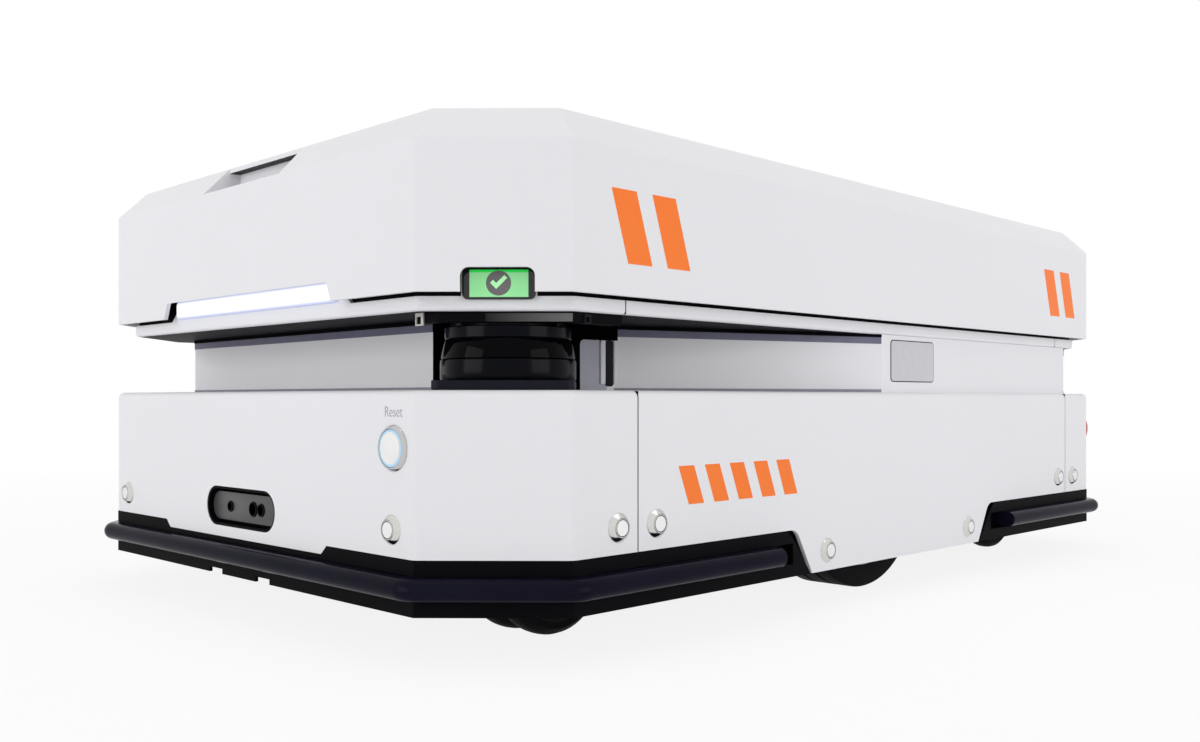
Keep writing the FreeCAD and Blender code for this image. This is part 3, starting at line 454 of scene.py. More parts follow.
# Gloss polycarbonate gives a near black with small clear reflections.
scanner_gloss, tree, shader = new_material("gloss navy-black polycarbonate",
                                           "#06070b", 0.15, specular=0.06)
vary(tree, shader, "#05060a", "#090a12", 0.05)
roughen(tree, shader, 0.02, 0.00002, 0.10, 0.20)

# A satin moulding gives a dark navy on which the edges still show.
tray_navy, tree, shader = new_material("satin navy moulded tray", "#14141d", 0.35, specular=0.08)
vary(tree, shader, "#101018", "#1b1b26", 0.03)
roughen(tree, shader, 0.003, 0.00003, 0.28, 0.42)

# An optical window gives a black face as smooth as glass.
window_dark, tree, shader = new_material("dark optical window", "#030305", 0.04, specular=0.04)
vary(tree, shader, "#020203", "#040508", 0.03)


def slab(name, outline, low, high, bevel=0.0, bevel_steps=3):
    """Flat block on a closed outline of (x, y) points, with its edges softened."""
    mesh = bmesh.new()
    floor = [mesh.verts.new((x, y, low)) for x, y in outline]
    face = mesh.faces.new(floor)
    grown = bmesh.ops.extrude_face_region(mesh, geom=[face])
    moved = [item for item in grown["geom"] if isinstance(item, bmesh.types.BMVert)]
    bmesh.ops.translate(mesh, verts=moved, vec=(0, 0, high - low))
    bmesh.ops.recalc_face_normals(mesh, faces=mesh.faces)
    if bevel:
        bmesh.ops.bevel(mesh, geom=mesh.edges[:], offset=bevel, segments=bevel_steps,
                        profile=0.5, affect="EDGES", clamp_overlap=True)
    made = bpy.data.meshes.new(name)
    mesh.to_mesh(made)
    mesh.free()
    return made


def rounded(half_x, half_y, radius, centre=(0, 0), steps=6):
    """Outline of a rectangle with round corners."""
    points = []
    for number, (sx, sy) in enumerate(((1, 1), (-1, 1), (-1, -1), (1, -1))):
        for i in range(steps + 1):
            angle = math.pi / 2 * (number + i / steps)
            points.append((centre[0] + sx * (half_x - radius) + radius * math.cos(angle),
                           centre[1] + sy * (half_y - radius) + radius * math.sin(angle)))
    return points


def half_turned(mesh, way):
    """Turn a mesh made at the front to the rear, where way is -1."""
    if way < 0:
        mesh.transform(Matrix.Rotation(math.pi, 4, "Z"))
    return mesh


scanner = middle("front_scanner_window")
scanner.z = 0
low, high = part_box("front_scanner_body")
tray_foot, soffit_z = low[2], high[2]
tray_top = tray_foot + 0.008
tray_half, tray_reach = 0.058, 0.071
corner_turn = Matrix.Translation(scanner) @ Matrix.Rotation(math.pi / 4, 4, "Z")

for end, way in (("front", 1), ("rear", -1)):
    body = [(0, tray_top), (0.0570, tray_top), (0.0580, tray_top + 0.0008),
            (0.0584, tray_top + 0.0025), (0.0584, 0.2440), (0.0580, 0.2455), (0.0570, 0.2460),
            (0.0500, 0.2460), (0.0500, 0.2630), (0.0535, 0.2630), (0.0545, 0.2640),
            (0.0545, 0.2725), (0.0535, 0.2735), (0.0495, 0.2735), (0.0495, soffit_z),
            (0, soffit_z)]
    piece = settle(end + "_scanner_housing",
                   half_turned(turned(body, scanner, (0, 0, 1), 128), way), "chassis",
                   [scanner_gloss])
    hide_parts(end + "_scanner_body")
    glass = [(0.0502, 0.2462), (0.0566, 0.2462), (0.0573, 0.2468), (0.0574, 0.2485),
             (0.0566, 0.2530), (0.0552, 0.2590), (0.0544, 0.2620), (0.0538, 0.2628),
             (0.0502, 0.2628), (0.0502, 0.2462)]
    piece = settle(end + "_scanner_glass",
                   half_turned(turned(glass, scanner, (0, 0, 1), 128), way), "chassis",
                   [window_dark])
    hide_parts(end + "_scanner_window")
    tray = slab("tray", rounded((tray_reach + tray_half) / 2, tray_half, 0.008,
                                ((tray_reach - tray_half) / 2, 0)),
                tray_foot + 0.0002, tray_top, 0.0012)
    tray.transform(corner_turn)
    settle(end + "_scanner_tray", half_turned(tray, way), "chassis",
           [tray_navy], smooth=False)


# --- Scanner pockets ------------------------------------------------------------------
# A black hanger plate holds each scanner's head from above, with a satin strip and two
# zinc clips on its edge. Black flock and a ribbed channel finish the pocket's side wall.
# The strip's grey holds a painted reflection. The second clip, a lavender-grey sheet on
# the wall and the channel's floor are painted shade.


def object_axes(tree):
    """Split the object coordinates into X, Y and Z."""
    place = add(tree, "ShaderNodeTexCoord")
    return add(tree, "ShaderNodeSeparateXYZ", Vector=place.outputs["Object"]).outputs


# Satin steel strip with a painted reflection: its grey brightens from the end face to the
# flank, where a long reflection is drawn into the colour.
satin_strip, tree, shader = new_material("dark satin steel strip", "#3b3b3b", 0.4, specular=0.1)
axes = object_axes(tree)
along = add(tree, "ShaderNodeMath", {"operation": "SUBTRACT"}, i0=axes["X"],
            i1=axes["Y"])
along = add(tree, "ShaderNodeMath", {"operation": "ABSOLUTE"}, i0=along.outputs[0])
strip_reflection = add(tree, "ShaderNodeMapRange", Value=along.outputs[0], From_Min=0.240,
           From_Max=0.145)
shade = add(tree, "ShaderNodeMix", {"data_type": "RGBA"}, Factor=strip_reflection.outputs["Result"],
            i6=linear("#1a1a1b"), i7=linear("#6a6a69"))
tree.links.new(shade.outputs[2], shader.inputs["Base Color"])
roughen(tree, shader, 0.001, 0.00001, 0.34, 0.46)

# Painted shade: a pale grey with a lavender cast, laid as a sheet on the white pocket wall
# for the shade there.
lavender, tree, shader = new_material("lavender-grey painted shade on the pocket wall", "#b0b0bd", 0.5)
vary(tree, shader, "#a8a8b6", "#b8b8c4", 0.02)
roughen(tree, shader, 0.002, 0.00003, 0.42, 0.55)

# Zinc plate gives a warm pale grey. It is drawn without metal, so that so small a
# clip stays pale in the dark slot.
clip_zinc, tree, shader = new_material("zinc-plated spring clip", "#c9c4be", 0.35)
vary(tree, shader, "#bdb8b2", "#d2cec8", 0.004)
roughen(tree, shader, 0.001, 0.00001, 0.28, 0.42)

hanger_low = 0.2753
hanger = [(0.561, 0.2465), (0.570, 0.2465), (0.570, 0.277), (0.493, 0.354), (0.434, 0.354),
          (0.434, 0.340), (0.486, 0.340), (0.561, 0.271)]
wall_start, wall_end = Vector((0.425, 0.246, 0)), Vector((0.335, 0.250, 0))
wall_way = (wall_end - wall_start).normalized()
wall_out = Vector((-wall_way.y, wall_way.x, 0)) * -1


def on_wall(mesh):
    """Stand a mesh drawn as (along, height, outwards) on the pocket's side wall."""
    mesh.transform(Matrix(((wall_way.x, 0, wall_out.x, wall_start.x),
                           (wall_way.y, 0, wall_out.y, wall_start.y),
                           (0, 1, 0, 0), (0, 0, 0, 1))))
    return mesh


def square_clip(place, facing, size):
    """Square frame of bent strip with a dark hole, facing one way on the plate's edge."""
    half = size / 2
    mesh = bmesh.new()
    outer = [(-half, -half), (half, -half), (half, half), (-half, half)]
    inner = [(x * 0.58 - half * 0.14, y * 0.58 - half * 0.2) for x, y in outer]
    for depth in (0.0012, 0.0):
        for ring in (outer, inner):
            for x, y in ring:
                mesh.verts.new((x, y, depth))
    mesh.verts.ensure_lookup_table()
    corner = mesh.verts
    for i in range(4):
        j = (i + 1) % 4
        mesh.faces.new((corner[i], corner[j], corner[4 + j], corner[4 + i]))
        mesh.faces.new((corner[8 + j], corner[8 + i], corner[12 + i], corner[12 + j]))
        mesh.faces.new((corner[j], corner[i], corner[8 + i], corner[8 + j]))
        mesh.faces.new((corner[4 + i], corner[4 + j], corner[12 + j], corner[12 + i]))
    bmesh.ops.recalc_face_normals(mesh, faces=mesh.faces)
    made = bpy.data.meshes.new("clip")
    mesh.to_mesh(made)
    mesh.free()
    across = Vector((0, 0, 1)).cross(facing)
    made.transform(Matrix(((across.x, 0, facing.x, place[0]), (across.y, 0, facing.y, place[1]),
                           (0, 1, 0, place[2]), (0, 0, 0, 1))))
    return made


corner_out = Vector((1, 1, 0)).normalized()
for end, way in (("front", 1), ("rear", -1)):
    plate = slab("plate", hanger, hanger_low, soffit_z - 0.0002, 0.0006, 2)
    settle(end + "_scanner_hanger", half_turned(plate, way), "chassis",
           [black_abs], smooth=False)
    strip = slab("strip", rounded(0.0355, 0.0034, 0.0006), 0, 0.0008)
    strip.transform(Matrix(((-corner_out.x, 0, corner_out.x, 0.5180),
                            (corner_out.y, 0, corner_out.y, 0.3290),
                            (0, 1, 0, 0.2792), (0, 0, 0, 1))))
    settle(end + "_hanger_strip", half_turned(strip, way), "chassis",
           [satin_strip], smooth=False)
    clip = square_clip((0.570, 0.2522, 0.2789), Vector((1, 0, 0)), 0.0108)
    settle(end + "_hanger_clip_1", half_turned(clip, way), "chassis",
           [clip_zinc], smooth=False)
    # The second clip is zinc like the first, but is drawn in the tray's dark navy as painted
    # shade.
    clip = square_clip((0.4765, 0.3542, 0.2787), Vector((0, 1, 0)), 0.0075)
    settle(end + "_hanger_clip_2", half_turned(clip, way), "chassis",
           [tray_navy], smooth=False)

    # Black flock with one round inner corner, then a block that closes the top.
    corner_r = 0.005
    panel_start, panel_top = 0.0450, 0.2695
    flock = [(0.0004, 0.2202), (panel_start, 0.2202), (panel_start, panel_top - corner_r)]
    for step in range(1, 7):
        angle = math.pi / 2 * step / 6
        flock.append((panel_start + corner_r * (1 - math.cos(angle)),
                      panel_top - corner_r * (1 - math.sin(angle))))
    flock += [(0.0895, panel_top), (0.0895, soffit_z - 0.0002), (0.0004, soffit_z - 0.0002)]
    block = [(0.030, panel_top), (0.0895, panel_top), (0.0895, soffit_z - 0.0002),
             (0.030, soffit_z - 0.0002)]
    # A sheet of painted shade on the wall, and a channel: a dark floor with a round foot, also
    # painted shade, beside a white rib.
    shade_sheet = [(panel_start, 0.2202), (0.0800, 0.2202), (0.0800, panel_top),
             (panel_start, panel_top)]
    # The channel's floor is a thin dark plate of painted shade in the groove.
    channel = rounded(0.0062, 0.0222, 0.004, (0.0833, 0.2472))
    rib = rounded(0.0030, 0.0212, 0.0012, (0.0738, 0.2482))
    for name, outline, thickness, bevel, slot, material in (
            ("pocket_flock", flock, 0.0006, 0, "trim_black", lining),
            ("pocket_block", block, 0.006, 0, "trim_black", lining),
            ("pocket_liner", shade_sheet, 0.0003, 0, "cover_white", lavender),
            ("channel_floor", channel, 0.0005, 0, "trim_black", tray_navy),
            ("channel_rib", rib, 0.0022, 0.0009, "cover_white", white_abs)):
        piece = half_turned(on_wall(slab(name, outline, 0, thickness, bevel)), way)
        settle("%s_%s" % (end, name), piece, "chassis", [material], smooth=bevel > 0)
    post = slab("post", rounded(0.0018, 0.0018, 0.0014, (0.3352, 0.2508)), 0.2285, 0.2752)
    settle(end + "_corner_post", half_turned(post, way), "chassis", [white_abs])


# --- Gaskets and painted shade strips -------------------------------------------------
# Cut foam gaskets, black, stand behind the joints between the panels. Along the waist
# wall, thin strips are painted shade: a grey one at its foot, and a navy-grey band and a
# black strip under the soffit.

# Matt foam turns each joint into a clean dark line. The same black, laid as a strip right
# under the soffit, is painted shade.
gasket_and_shade_black, tree, shader = new_material("black foam gasket and painted soffit shade", "#0c0c0e", 0.9, specular=0.02)
vary(tree, shader, "#09090b", "#121214", 0.01)

# Painted shadow: a thin matt grey strip at the foot of the wall, for the contact shadow
# where the wall meets the lower covers.
foot_shadow_grey, tree, shader = new_material("grey painted shadow at the wall's foot", "#9595a1", 0.85)
vary(tree, shader, "#8e8e9a", "#9c9ca8", 0.01)

# Painted shade: a navy-grey band with a soft sheen along the top of the wall, for the shade
# under the soffit.
painted_band, tree, shader = new_material("navy-grey painted shade band under the soffit", "#6c6c80", 0.4, specular=0.2)
vary(tree, shader, "#62627a", "#76768a", 0.02)
roughen(tree, shader, 0.004, 0.00004, 0.34, 0.46)

waist_line = [(0.466, -0.358), (0.495, -0.307), (0.508, 0.188)]
waist_back = [(0.335, 0.250), (0.022, 0.358)]
foot_low, foot_high = 0.2201, 0.2235
band_low, band_high = 0.2735, 0.2806


def wall_strip(line, low_z, high_z, thickness):
    """Thin strip that stands on the outside of a wall, along a line of (x, y) points."""
    points = [Vector((x, y, 0)) for x, y in line]
    outer = []
    for i, point in enumerate(points):
        sides = []
        for first, second in ((i - 1, i), (i, i + 1)):
            if 0 <= first and second < len(points):
                along = (points[second] - points[first]).normalized()
                sides.append(Vector((along.y, -along.x, 0)))
        side = sum(sides, Vector()).normalized()
        outer.append(point + side * thickness / max(0.3, side.dot(sides[0])))
    outline = [(p.x, p.y) for p in points] + [(p.x, p.y) for p in reversed(outer)]
    return slab("strip", outline, low_z, high_z)


for end, way in (("front", 1), ("rear", -1)):
    for name, line in (("waist", waist_line), ("flank", waist_back)):
        # Grey strip of painted shadow at the wall's foot.
        foot = wall_strip(line, foot_low, foot_high, 0.0006)
        settle("%s_%s_foot_seal" % (end, name), half_turned(foot, way), "chassis",
               [foot_shadow_grey], smooth=False)
        # Navy-grey band of painted shade under the soffit.
        gasket_lip_and_shade_band = wall_strip(line, band_low, band_high, 0.0007)
        settle("%s_%s_lip_seal" % (end, name), half_turned(gasket_lip_and_shade_band, way), "chassis",
               [painted_band], smooth=False)
        # Black strip of painted shade right under the soffit.
        edge = wall_strip(line, band_high, soffit_z - 0.0001, 0.0012)
        settle("%s_%s_soffit_seal" % (end, name), half_turned(edge, way), "chassis",
               [gasket_and_shade_black], smooth=False)

cover_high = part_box("left_cover")[1]
front_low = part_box("front_cover")[0]
collar_low, collar_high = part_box("left_collar")
joint_x = (cover_high[0] + front_low[0]) / 2
gap_half = 0.00065
for end, way in (("front", 1), ("rear", -1)):
    for side, hand in ((1, "left"), (-1, "right")):
        for name, face, low_z, high_z, flange, depth in (
                ("cover", cover_high[1], front_low[2] + 0.009, cover_high[2] - 0.0005,
                 gap_half, 0.0100),
                ("collar", collar_high[1], collar_low[2] + 0.0004, collar_high[2] - 0.0004,
                 0.004, 0.0068)):
            back, step, gasket_lip_and_shade_band = face - depth, face - 0.0045, face - 0.0004
            outline = [(joint_x - flange, back), (joint_x + flange, back)]
            if flange > gap_half:
                outline += [(joint_x + flange, step), (joint_x + gap_half, step)]
            outline += [(joint_x + gap_half, gasket_lip_and_shade_band), (joint_x - gap_half, gasket_lip_and_shade_band)]
            if flange > gap_half:
                outline += [(joint_x - gap_half, step), (joint_x - flange, step)]
            gasket = slab("gasket", outline, low_z, high_z)
            gasket.transform(Matrix.Diagonal((way, side, 1, 1)))
            if way * side < 0:
                gasket.flip_normals()
            settle("%s_%s_%s_gasket" % (end, hand, name), gasket, "chassis",
                   [gasket_and_shade_black], smooth=False)


# --- Blank plate on the waist wall ----------------------------------------------------
# Thin anodised plate with round corners and a dark printed border, left bare. It is
# glued on the waist wall, one on each flank.

# An anodised plate gives a pale grey, a touch cooler than the wall.
plate_face, tree, shader = new_material("pale anodised plate", "#c9c9cf", 0.4)
vary(tree, shader, "#c4c4ca", "#cfcfd4", 0.01)
roughen(tree, shader, 0.001, 0.00001, 0.34, 0.46)

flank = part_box("rear_waist_panel")[1][1]
plate_x, plate_z = -0.0465, 0.2555
plate_half_long, plate_half_high, plate_corner = 0.0475, 0.0225, 0.004
for end, way in (("left", 1), ("right", -1)):
    for name, grow, low_y, high_y, finish in (("border", 0.0010, 0.0, 0.0004, black_abs),
                                              ("face", 0.0, 0.0003, 0.0006, plate_face)):
        outline = rounded(plate_half_long + grow, plate_half_high + grow, plate_corner + grow)
        plate = slab("plate", outline, low_y, high_y)
        plate.transform(Matrix(((-1, 0, 0, plate_x), (0, 0, 1, flank), (0, 1, 0, plate_z),
                                (0, 0, 0, 1))))
        settle("%s_plate_%s" % (end, name), half_turned(plate, way), "chassis",
               [finish], smooth=False)


# --- Light bars -----------------------------------------------------------------------
# Opal acrylic lens over a row of lamps on each end's raised tab. It is lit evenly, and
# its rounded edges fall off to a cool blue.

# Lit opal acrylic gives an even white that falls to a cool blue at its edges.
opal, tree, shader = new_material("lit opal acrylic", "#aab0c8", 0.25, specular=0.2)
axes = object_axes(tree)
bar_low, bar_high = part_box("front_light_bar")
mid_z = (bar_low[2] + bar_high[2]) / 2
from_middle = add(tree, "ShaderNodeMath", {"operation": "SUBTRACT"}, i0=axes["Z"],
                  i1=mid_z)
away = add(tree, "ShaderNodeMath", {"operation": "ABSOLUTE"}, i0=from_middle.outputs[0])
fall = add(tree, "ShaderNodeMapRange", {"interpolation_type": "SMOOTHSTEP"},
           Value=away.outputs[0], From_Min=0.0055, From_Max=0.0100)
glow = add(tree, "ShaderNodeMix", {"data_type": "RGBA"}, Factor=fall.outputs["Result"],
           i6=linear("#ffffff"), i7=linear("#7f86ad"))
tree.links.new(glow.outputs[2], shader.inputs["Emission Color"])
shader.inputs["Emission Strength"].default_value = 0.8

lens_corner, lens_thick, lens_round = 0.006, 0.003, 0.0014
for end, way in (("front", 1), ("rear", -1)):
    low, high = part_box(end + "_light_bar")
    half_y = (high[1] - low[1]) / 2
    half_z = (high[2] - low[2]) / 2
    back = low[0] if way > 0 else high[0]
    lens = slab("lens", rounded(half_y, half_z, lens_corner), 0, lens_thick, lens_round, 4)
    lens.transform(Matrix(((0, 0, way, back), (way, 0, 0, 0), (0, 1, 0, low[2] + half_z),
                           (0, 0, 0, 1))))
    piece = settle(end + "_light_lens", lens, "chassis", [opal])
    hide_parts(end + "_light_bar")


# --- Status display -------------------------------------------------------------------
# Small colour display in a gloss black case on the front left corner. It shows a green
# field with a tick in a dark disc, the common sign for ready. All but its top tenth is
# drawn paler, a painted reflection on the glass.

# Display glass gives a smooth black that takes sharp reflections.
case_gloss, tree, shader = new_material("gloss black display glass", "#141418", 0.08)
vary(tree, shader, "#121216", "#18181d", 0.03)

# The lit field is a strong green at its top. Below that it is drawn a pale green, a painted
# reflection on the glass that also glows.
lit_green, tree, shader = new_material("lit green display with a painted reflection", "#8fdf97", 0.2)
screen_low, screen_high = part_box("display_screen")
axes = object_axes(tree)
above_reflection = add(tree, "ShaderNodeMath", {"operation": "GREATER_THAN"}, i0=axes["Z"],
              i1=screen_high[2] - 0.1 * (screen_high[2] - screen_low[2]))
field_with_reflection = add(tree, "ShaderNodeMix", {"data_type": "RGBA"}, Factor=above_reflection.outputs[0],
              i6=linear("#8fdf97"), i7=linear("#25dc4c"))
tree.links.new(field_with_reflection.outputs[2], shader.inputs["Base Color"])
tree.links.new(field_with_reflection.outputs[2], shader.inputs["Emission Color"])
shader.inputs["Emission Strength"].default_value = 0.3

# The dark disc is drawn a flat mid grey: its own dark, lightened by a painted reflection.
dark_mark, tree, shader = new_material("dark display disc under a painted reflection", "#706d6f", 0.2)
vary(tree, shader, "#6d6a6c", "#747173", 0.01)

# The lit tick is drawn a pale green, brighter than the disc behind it: lit green, paled by a
# painted reflection.
pale_mark, tree, shader = new_material("lit green display mark under a painted reflection", "#aef2ae", 0.2)
vary(tree, shader, "#abf0ab", "#b2f4b2", 0.01)
shader.inputs["Emission Color"].default_value = linear("#aef2ae")
shader.inputs["Emission Strength"].default_value = 0.3

dress("display_housing", case_gloss)
dress("display_screen", lit_green)

corner_along = Vector((-1, 1, 0)).normalized()
screen = middle("display_screen")
screen_face = max(Vector(corner).dot(corner_out) for corner in
                  [vertex.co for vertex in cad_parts["display_screen"].data.vertices])


def on_screen(mesh, along, up, lift):
    """Put a flat mesh drawn in x and y on the display, facing out of the corner."""
    spot = screen + corner_along * along
    spot += corner_out * (screen_face + lift - spot.dot(corner_out))
    spot.z = screen.z + up
    mesh.transform(Matrix.Translation(spot) @ Matrix((
        (corner_along.x, 0, corner_out.x, 0), (corner_along.y, 0, corner_out.y, 0),
        (0, 1, 0, 0), (0, 0, 0, 1))))
    return mesh


disc = [(0.0101 * math.cos(math.radians(a)), 0.0101 * math.sin(math.radians(a)))
        for a in range(0, 360, 8)]
settle("display_disc", on_screen(slab("disc", disc, -0.0004, 0.0002), -0.0003, 0.0002, 0),
       "chassis", [dark_mark], smooth=False)
tick = [(-0.0068, 0.0002), (-0.0045, 0.0026), (-0.0019, 0.0), (0.0047, 0.0064),
        (0.0070, 0.0041), (-0.0019, -0.0048)]
settle("display_tick", on_screen(slab("tick", tick, -0.0002, 0.0004), -0.0003, 0.0002, 0),
       "chassis", [pale_mark], smooth=False)


# --- Depth camera ---------------------------------------------------------------------
# Stereo depth camera in an oblong pocket: a black moulded rim, a dark grey bar with
# three lens barrels, and glass in each barrel.

dress("depth_camera", black_abs)
# Dark anodising gives a satin grey that stands out from its black rim.
camera_grey, tree, shader = new_material("dark grey anodised bar", "#3c3b3d", 0.35)
vary(tree, shader, "#383739", "#424143", 0.02)
roughen(tree, shader, 0.001, 0.00002, 0.3, 0.42)

low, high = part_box("depth_camera")
camera_y = (low[1] + high[1]) / 2
camera_z = (low[2] + high[2]) / 2
bar_front = high[0] - 0.0050
half_long, half_high = 0.062, 0.014


def facing_front(mesh, x, y, z):
    """Stand a flat mesh drawn in x and y on the front of the robot."""
    mesh.transform(Matrix(((0, 0, 1, x), (1, 0, 0, y), (0, 1, 0, z), (0, 0, 0, 1))))
    return mesh


bar = slab("bar", rounded(half_long, half_high, half_high - 0.0005, steps=10), -0.006, 0.001,
           0.0006, 2)
settle("camera_bar", facing_front(bar, bar_front, camera_y, camera_z), "chassis",
       [camera_grey])
eyes = ((-0.024, 0.005), (0.021, 0.007), (0.036, 0.006))    # place in Y and radius
for number, (y, radius) in enumerate(eyes):
    barrel = [(0, 0.001), (radius - 0.001, 0.001), (radius - 0.001, 0.0022),
              (radius, 0.0022), (radius + 0.0006, 0.0012), (radius + 0.0006, 0)]
    settle("camera_eye_%d" % (number + 1),
           turned(barrel, (bar_front, y, camera_z), (1, 0, 0), 40), "chassis",
           [window_dark])


# --- Reset switch ---------------------------------------------------------------------
# Chromed push-button with a lit ring round a satin metal cap, nutted through the
# cover. The word above it is pad-printed in grey.

# Chrome is a mirror, so the ring shows thin bands of light and dark.
chrome, tree, shader = new_material("polished chrome", "#c2c2c2", 0.08, 1.0)
vary(tree, shader, "#bdbdbe", "#c7c7c7", 0.01)

# Satin lacquer gives an even warm white.
cap_metal, tree, shader = new_material("satin white-lacquered cap", "#f3f2f0", 0.38)
vary(tree, shader, "#f1f0ee", "#f5f4f3", 0.006)
roughen(tree, shader, 0.001, 0.000004, 0.32, 0.46)

# The lit ring gives a pale, steady blue.
ring_blue, tree, shader = new_material("lit blue ring", "#a9cfe8", 0.2)
vary(tree, shader, "#a5cce6", "#aed3eb", 0.004)
shader.inputs["Emission Color"].default_value = linear("#9cc9ea")
shader.inputs["Emission Strength"].default_value = 0.2

low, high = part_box("reset_bezel")
button_y = (low[1] + high[1]) / 2
button_z = (low[2] + high[2]) / 2
bezel = [(0.0157, -0.012), (0.0170, -0.012), (0.0170, 0), (0.0190, 0), (0.0190, 0.0008),
         (0.0186, 0.0014), (0.0171, 0.0034), (0.0166, 0.0038), (0.0160, 0.0038),
         (0.0157, 0.0034), (0.0157, -0.012)]
piece = settle("reset_ring", turned(bezel, (body_x, button_y, button_z), (1, 0, 0), 96),
               "chassis", [chrome])
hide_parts("reset_bezel")
cap = [(0, -0.010), (0.0154, -0.010), (0.0154, 0.0030), (0.0151, 0.0034), (0.0138, 0.0034),
       (0.0137, 0.0031), (0.0134, 0.0031), (0.0132, 0.0036), (0.0128, 0.0038), (0, 0.0037)]
piece = settle("reset_push", turned(cap, (body_x, button_y, button_z), (1, 0, 0), 96,
                                    [0, 0, 1, 1, 1, 1, 0, 0, 0]),
               "reset_cap", [cap_metal, ring_blue])
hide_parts("reset_button")

# Pad print gives a flat mid grey ink.
grey_print, tree, shader = new_material("grey pad print", "#a2a3a8", 0.5)
vary(tree, shader, "#9c9da2", "#a9aaaf", 0.005)
word_z, word_squeeze = 0.1985, 0.88
word = bpy.data.curves.new("word", "FONT")
word.body = "Reset"
word.size = 0.0125
word.align_x = "CENTER"
word.extrude = 0.0001
word.offset = -0.00012
carrier = bpy.data.objects.new("word", word)
bpy.context.collection.objects.link(carrier)
text_mesh = bpy.data.meshes.new_from_object(
    carrier.evaluated_get(bpy.context.evaluated_depsgraph_get()))
bpy.data.objects.remove(carrier)
text_mesh.transform(Matrix.Diagonal((word_squeeze, 1, 1, 1)))
settle("reset_word", facing_front(text_mesh, body_x + 0.0001, button_y, word_z), "chassis",
       [grey_print], smooth=False)


# --- Emergency stop -------------------------------------------------------------------
# Red mushroom head of moulded polyamide on a black collar. It is nutted through the
# cut corner at the rear left.

# Gloss polyamide gives a strong red with a soft highlight.
stop_red, tree, shader = new_material("red gloss polyamide", "#c3161c", 0.25)
vary(tree, shader, "#bb1219", "#cb1c22", 0.01)
roughen(tree, shader, 0.004, 0.00002, 0.2, 0.32)

stop_out = Vector((-1, 1, 0)).normalized()
corner_cut = 0.045
stop_foot = Vector((-body_x + corner_cut, body_y - corner_cut, middle("stop_button_base").z))
collar = [(0.00805, -0.014), (0.011, -0.014), (0.011, 0), (0.021, 0), (0.021, 0.0018),
          (0.020, 0.003), (0.0175, 0.0055), (0.0165, 0.006), (0.00805, 0.006),
          (0.00805, -0.014)]
piece = settle("stop_collar", turned(collar, stop_foot, stop_out, 72), "chassis",
               [black_abs])
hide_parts("stop_button_base")
head = [(0, -0.012), (0.008, -0.012), (0.008, 0.011), (0.0140, 0.011), (0.0170, 0.0118),
        (0.0190, 0.0132), (0.0199, 0.0158), (0.0196, 0.0182), (0.0186, 0.0203),
        (0.0165, 0.0222), (0.0135, 0.0234), (0.0080, 0.0240), (0, 0.0240)]
piece = settle("stop_mushroom", turned(head, stop_foot, stop_out, 72), "stop_head",
               [stop_red])
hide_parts("stop_button")


# --- Orange bars ----------------------------------------------------------------------
# Cut vinyl bars stuck on the deck and the side covers by their own adhesive. They are
# drawn 0.2 mm thick, about twice the real film.

# Cut vinyl gives a flat strong orange with a low sheen.
orange_vinyl, tree, shader = new_material("orange cut vinyl", "#ff7f2e", 0.4, specular=0.2)
vary(tree, shader, "#ff7b28", "#ff8436", 0.05)
roughen(tree, shader, 0.002, 0.00001, 0.34, 0.46)


def side_bars(name, body, start, low, high, width, gap, count, lean, side):
    """Slanted bars on a side face, marching forward from their rear lower corner."""
    for number in range(count):
        x = start + number * (width + gap)
        outline = [(x, low), (x + width, low), (x + width + lean, high), (x + lean, high)]
        mesh = slab("bar", outline, 0, 0.0002)
        mesh.transform(Matrix(((1, 0, 0, 0), (0, 0, side, side * body_y), (0, 1, 0, 0),
                               (0, 0, 0, 1))))
        if side < 0:
            mesh.flip_normals()
        settle("%s_%d" % (name, number + 1), mesh, body, [orange_vinyl],
               smooth=False)


# Foot, top, width, gap, count and lean of each row of bars.
deck_bars = (0.325, 0.386, 0.030, 0.020, 2, 0.020)
cover_bars = (0.1205, 0.1545, 0.021, 0.015, 5, 0.014)
for side, hand in ((1, "left"), (-1, "right")):
    side_bars("front_deck_bar_" + hand, "lift", 0.367, *deck_bars, side)
    side_bars("rear_deck_bar_" + hand, "lift", -0.467, *deck_bars, side)
    side_bars("cover_bar_" + hand, "chassis", 0.204, *cover_bars, side)


# --- Floor, light and camera ----------------------------------------------------------
# A plain white studio: a pale floor, an even white surround and three broad lamps. The
# camera stands low, off the front left corner.


def seen_directly(tree):
    """1 where the camera, a reflection or clear material looks, and 0 for other light."""
    path = add(tree, "ShaderNodeLightPath")
    seen = add(tree, "ShaderNodeMath", {"operation": "MAXIMUM"},
               i0=path.outputs["Is Camera Ray"], i1=path.outputs["Is Glossy Ray"])
    return add(tree, "ShaderNodeMath", {"operation": "MAXIMUM"}, i0=seen.outputs[0],
               i1=path.outputs["Is Transmission Ray"]).outputs[0]


floor_mesh = bpy.data.meshes.new("floor")
floor_mesh.from_pydata([(-30, -30, 0), (30, -30, 0), (30, 30, 0), (-30, 30, 0)], [],
                       [(0, 1, 2, 3)])
floor = bpy.data.objects.new("floor", floor_mesh)
bpy.context.collection.objects.link(floor)
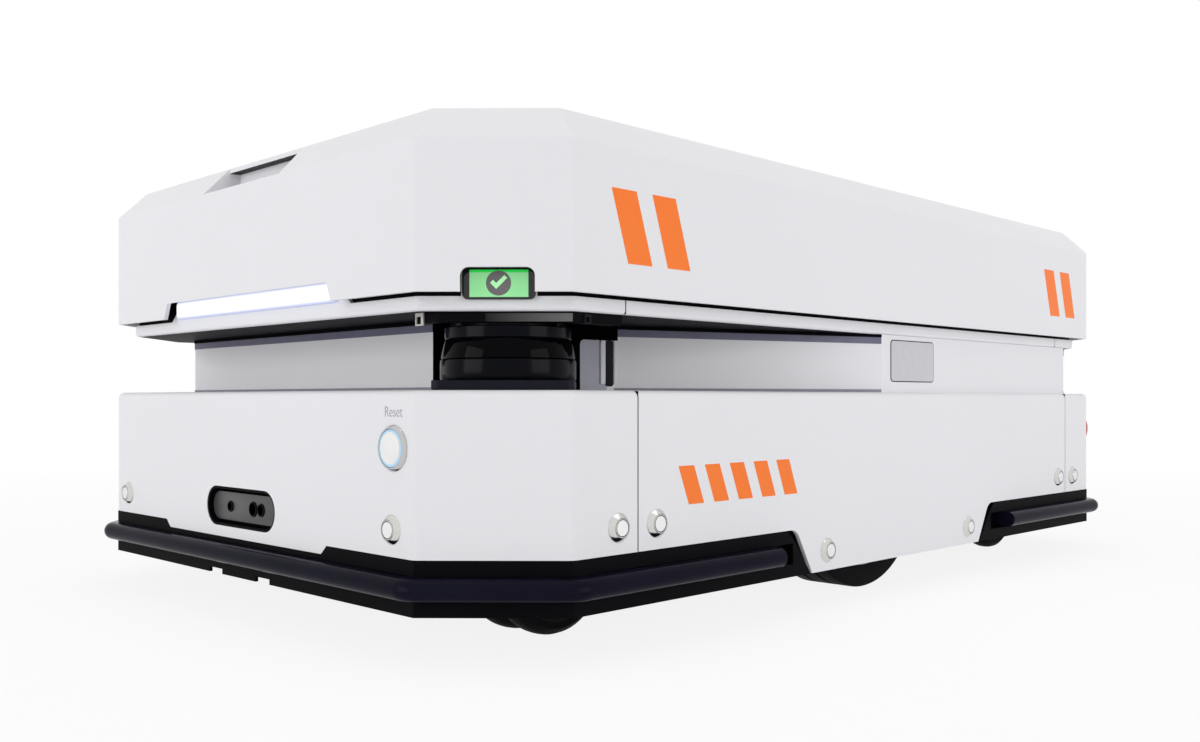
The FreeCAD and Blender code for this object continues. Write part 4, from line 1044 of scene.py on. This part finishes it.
# Pale paint keeps the shadow of the robot, and fades to white with distance.
floor_paint, tree, shader = new_material("white studio floor", "#f4f4f6", 0.8)
seen = seen_directly(tree)
place = add(tree, "ShaderNodeTexCoord")
distance = add(tree, "ShaderNodeVectorMath", {"operation": "LENGTH"}, i0=place.outputs["Object"])
fade = add(tree, "ShaderNodeMapRange", Value=distance.outputs["Value"], From_Min=0.9,
           From_Max=2.6, To_Min=0.87, To_Max=1.0)
share = add(tree, "ShaderNodeMath", {"operation": "MULTIPLY"}, i0=seen,
            i1=fade.outputs["Result"])
white = add(tree, "ShaderNodeEmission", Color=(1, 1, 1, 1), Strength=1.0)
mixed = add(tree, "ShaderNodeMixShader", Fac=share.outputs[0], i1=shader.outputs["BSDF"],
            i2=white.outputs["Emission"])
tree.links.new(mixed.outputs["Shader"], tree.nodes["Material Output"].inputs["Surface"])
floor_mesh.materials.append(floor_paint)

world = bpy.data.worlds.new("studio")
bpy.context.scene.world = world
world.use_nodes = True
tree = world.node_tree
backdrop = tree.nodes["Background"]
seen = seen_directly(tree)
strength = add(tree, "ShaderNodeMapRange", Value=seen, To_Min=0.6, To_Max=1.0)
backdrop.inputs["Color"].default_value = (1, 1, 1, 1)
tree.links.new(strength.outputs["Result"], backdrop.inputs["Strength"])


def lamp(name, place, size, power):
    """Broad square lamp that looks at the middle of the robot."""
    data = bpy.data.lights.new(name, "AREA")
    data.size = size
    data.energy = power
    piece = bpy.data.objects.new(name, data)
    piece.location = place
    aim = Vector((0, 0, 0.25)) - Vector(place)
    piece.rotation_euler = aim.to_track_quat("-Z", "Y").to_euler()
    bpy.context.collection.objects.link(piece)


lamp("front", (4.3, -0.6, 0.7), 2.4, 54)
lamp("left", (-0.55, 4.1, 0.7), 2.4, 45)
lamp("top", (-0.2, 0.2, 3.6), 3.0, 20)

camera_place, camera_way = (1.13476, 1.01080, 0.21296), (-0.7001, -0.7140, 0)
camera_data = bpy.data.cameras.new("camera")
camera_data.sensor_width = 36.0
camera_data.lens = 33.92
camera_data.shift_x = 0.0212
camera_data.shift_y = 0.0232
camera = bpy.data.objects.new("camera", camera_data)
camera.location = camera_place
camera.rotation_euler = Vector(camera_way).to_track_quat("-Z", "Y").to_euler()
bpy.context.collection.objects.link(camera)
bpy.context.scene.camera = camera
bpy.context.scene.view_settings.view_transform = "Standard"
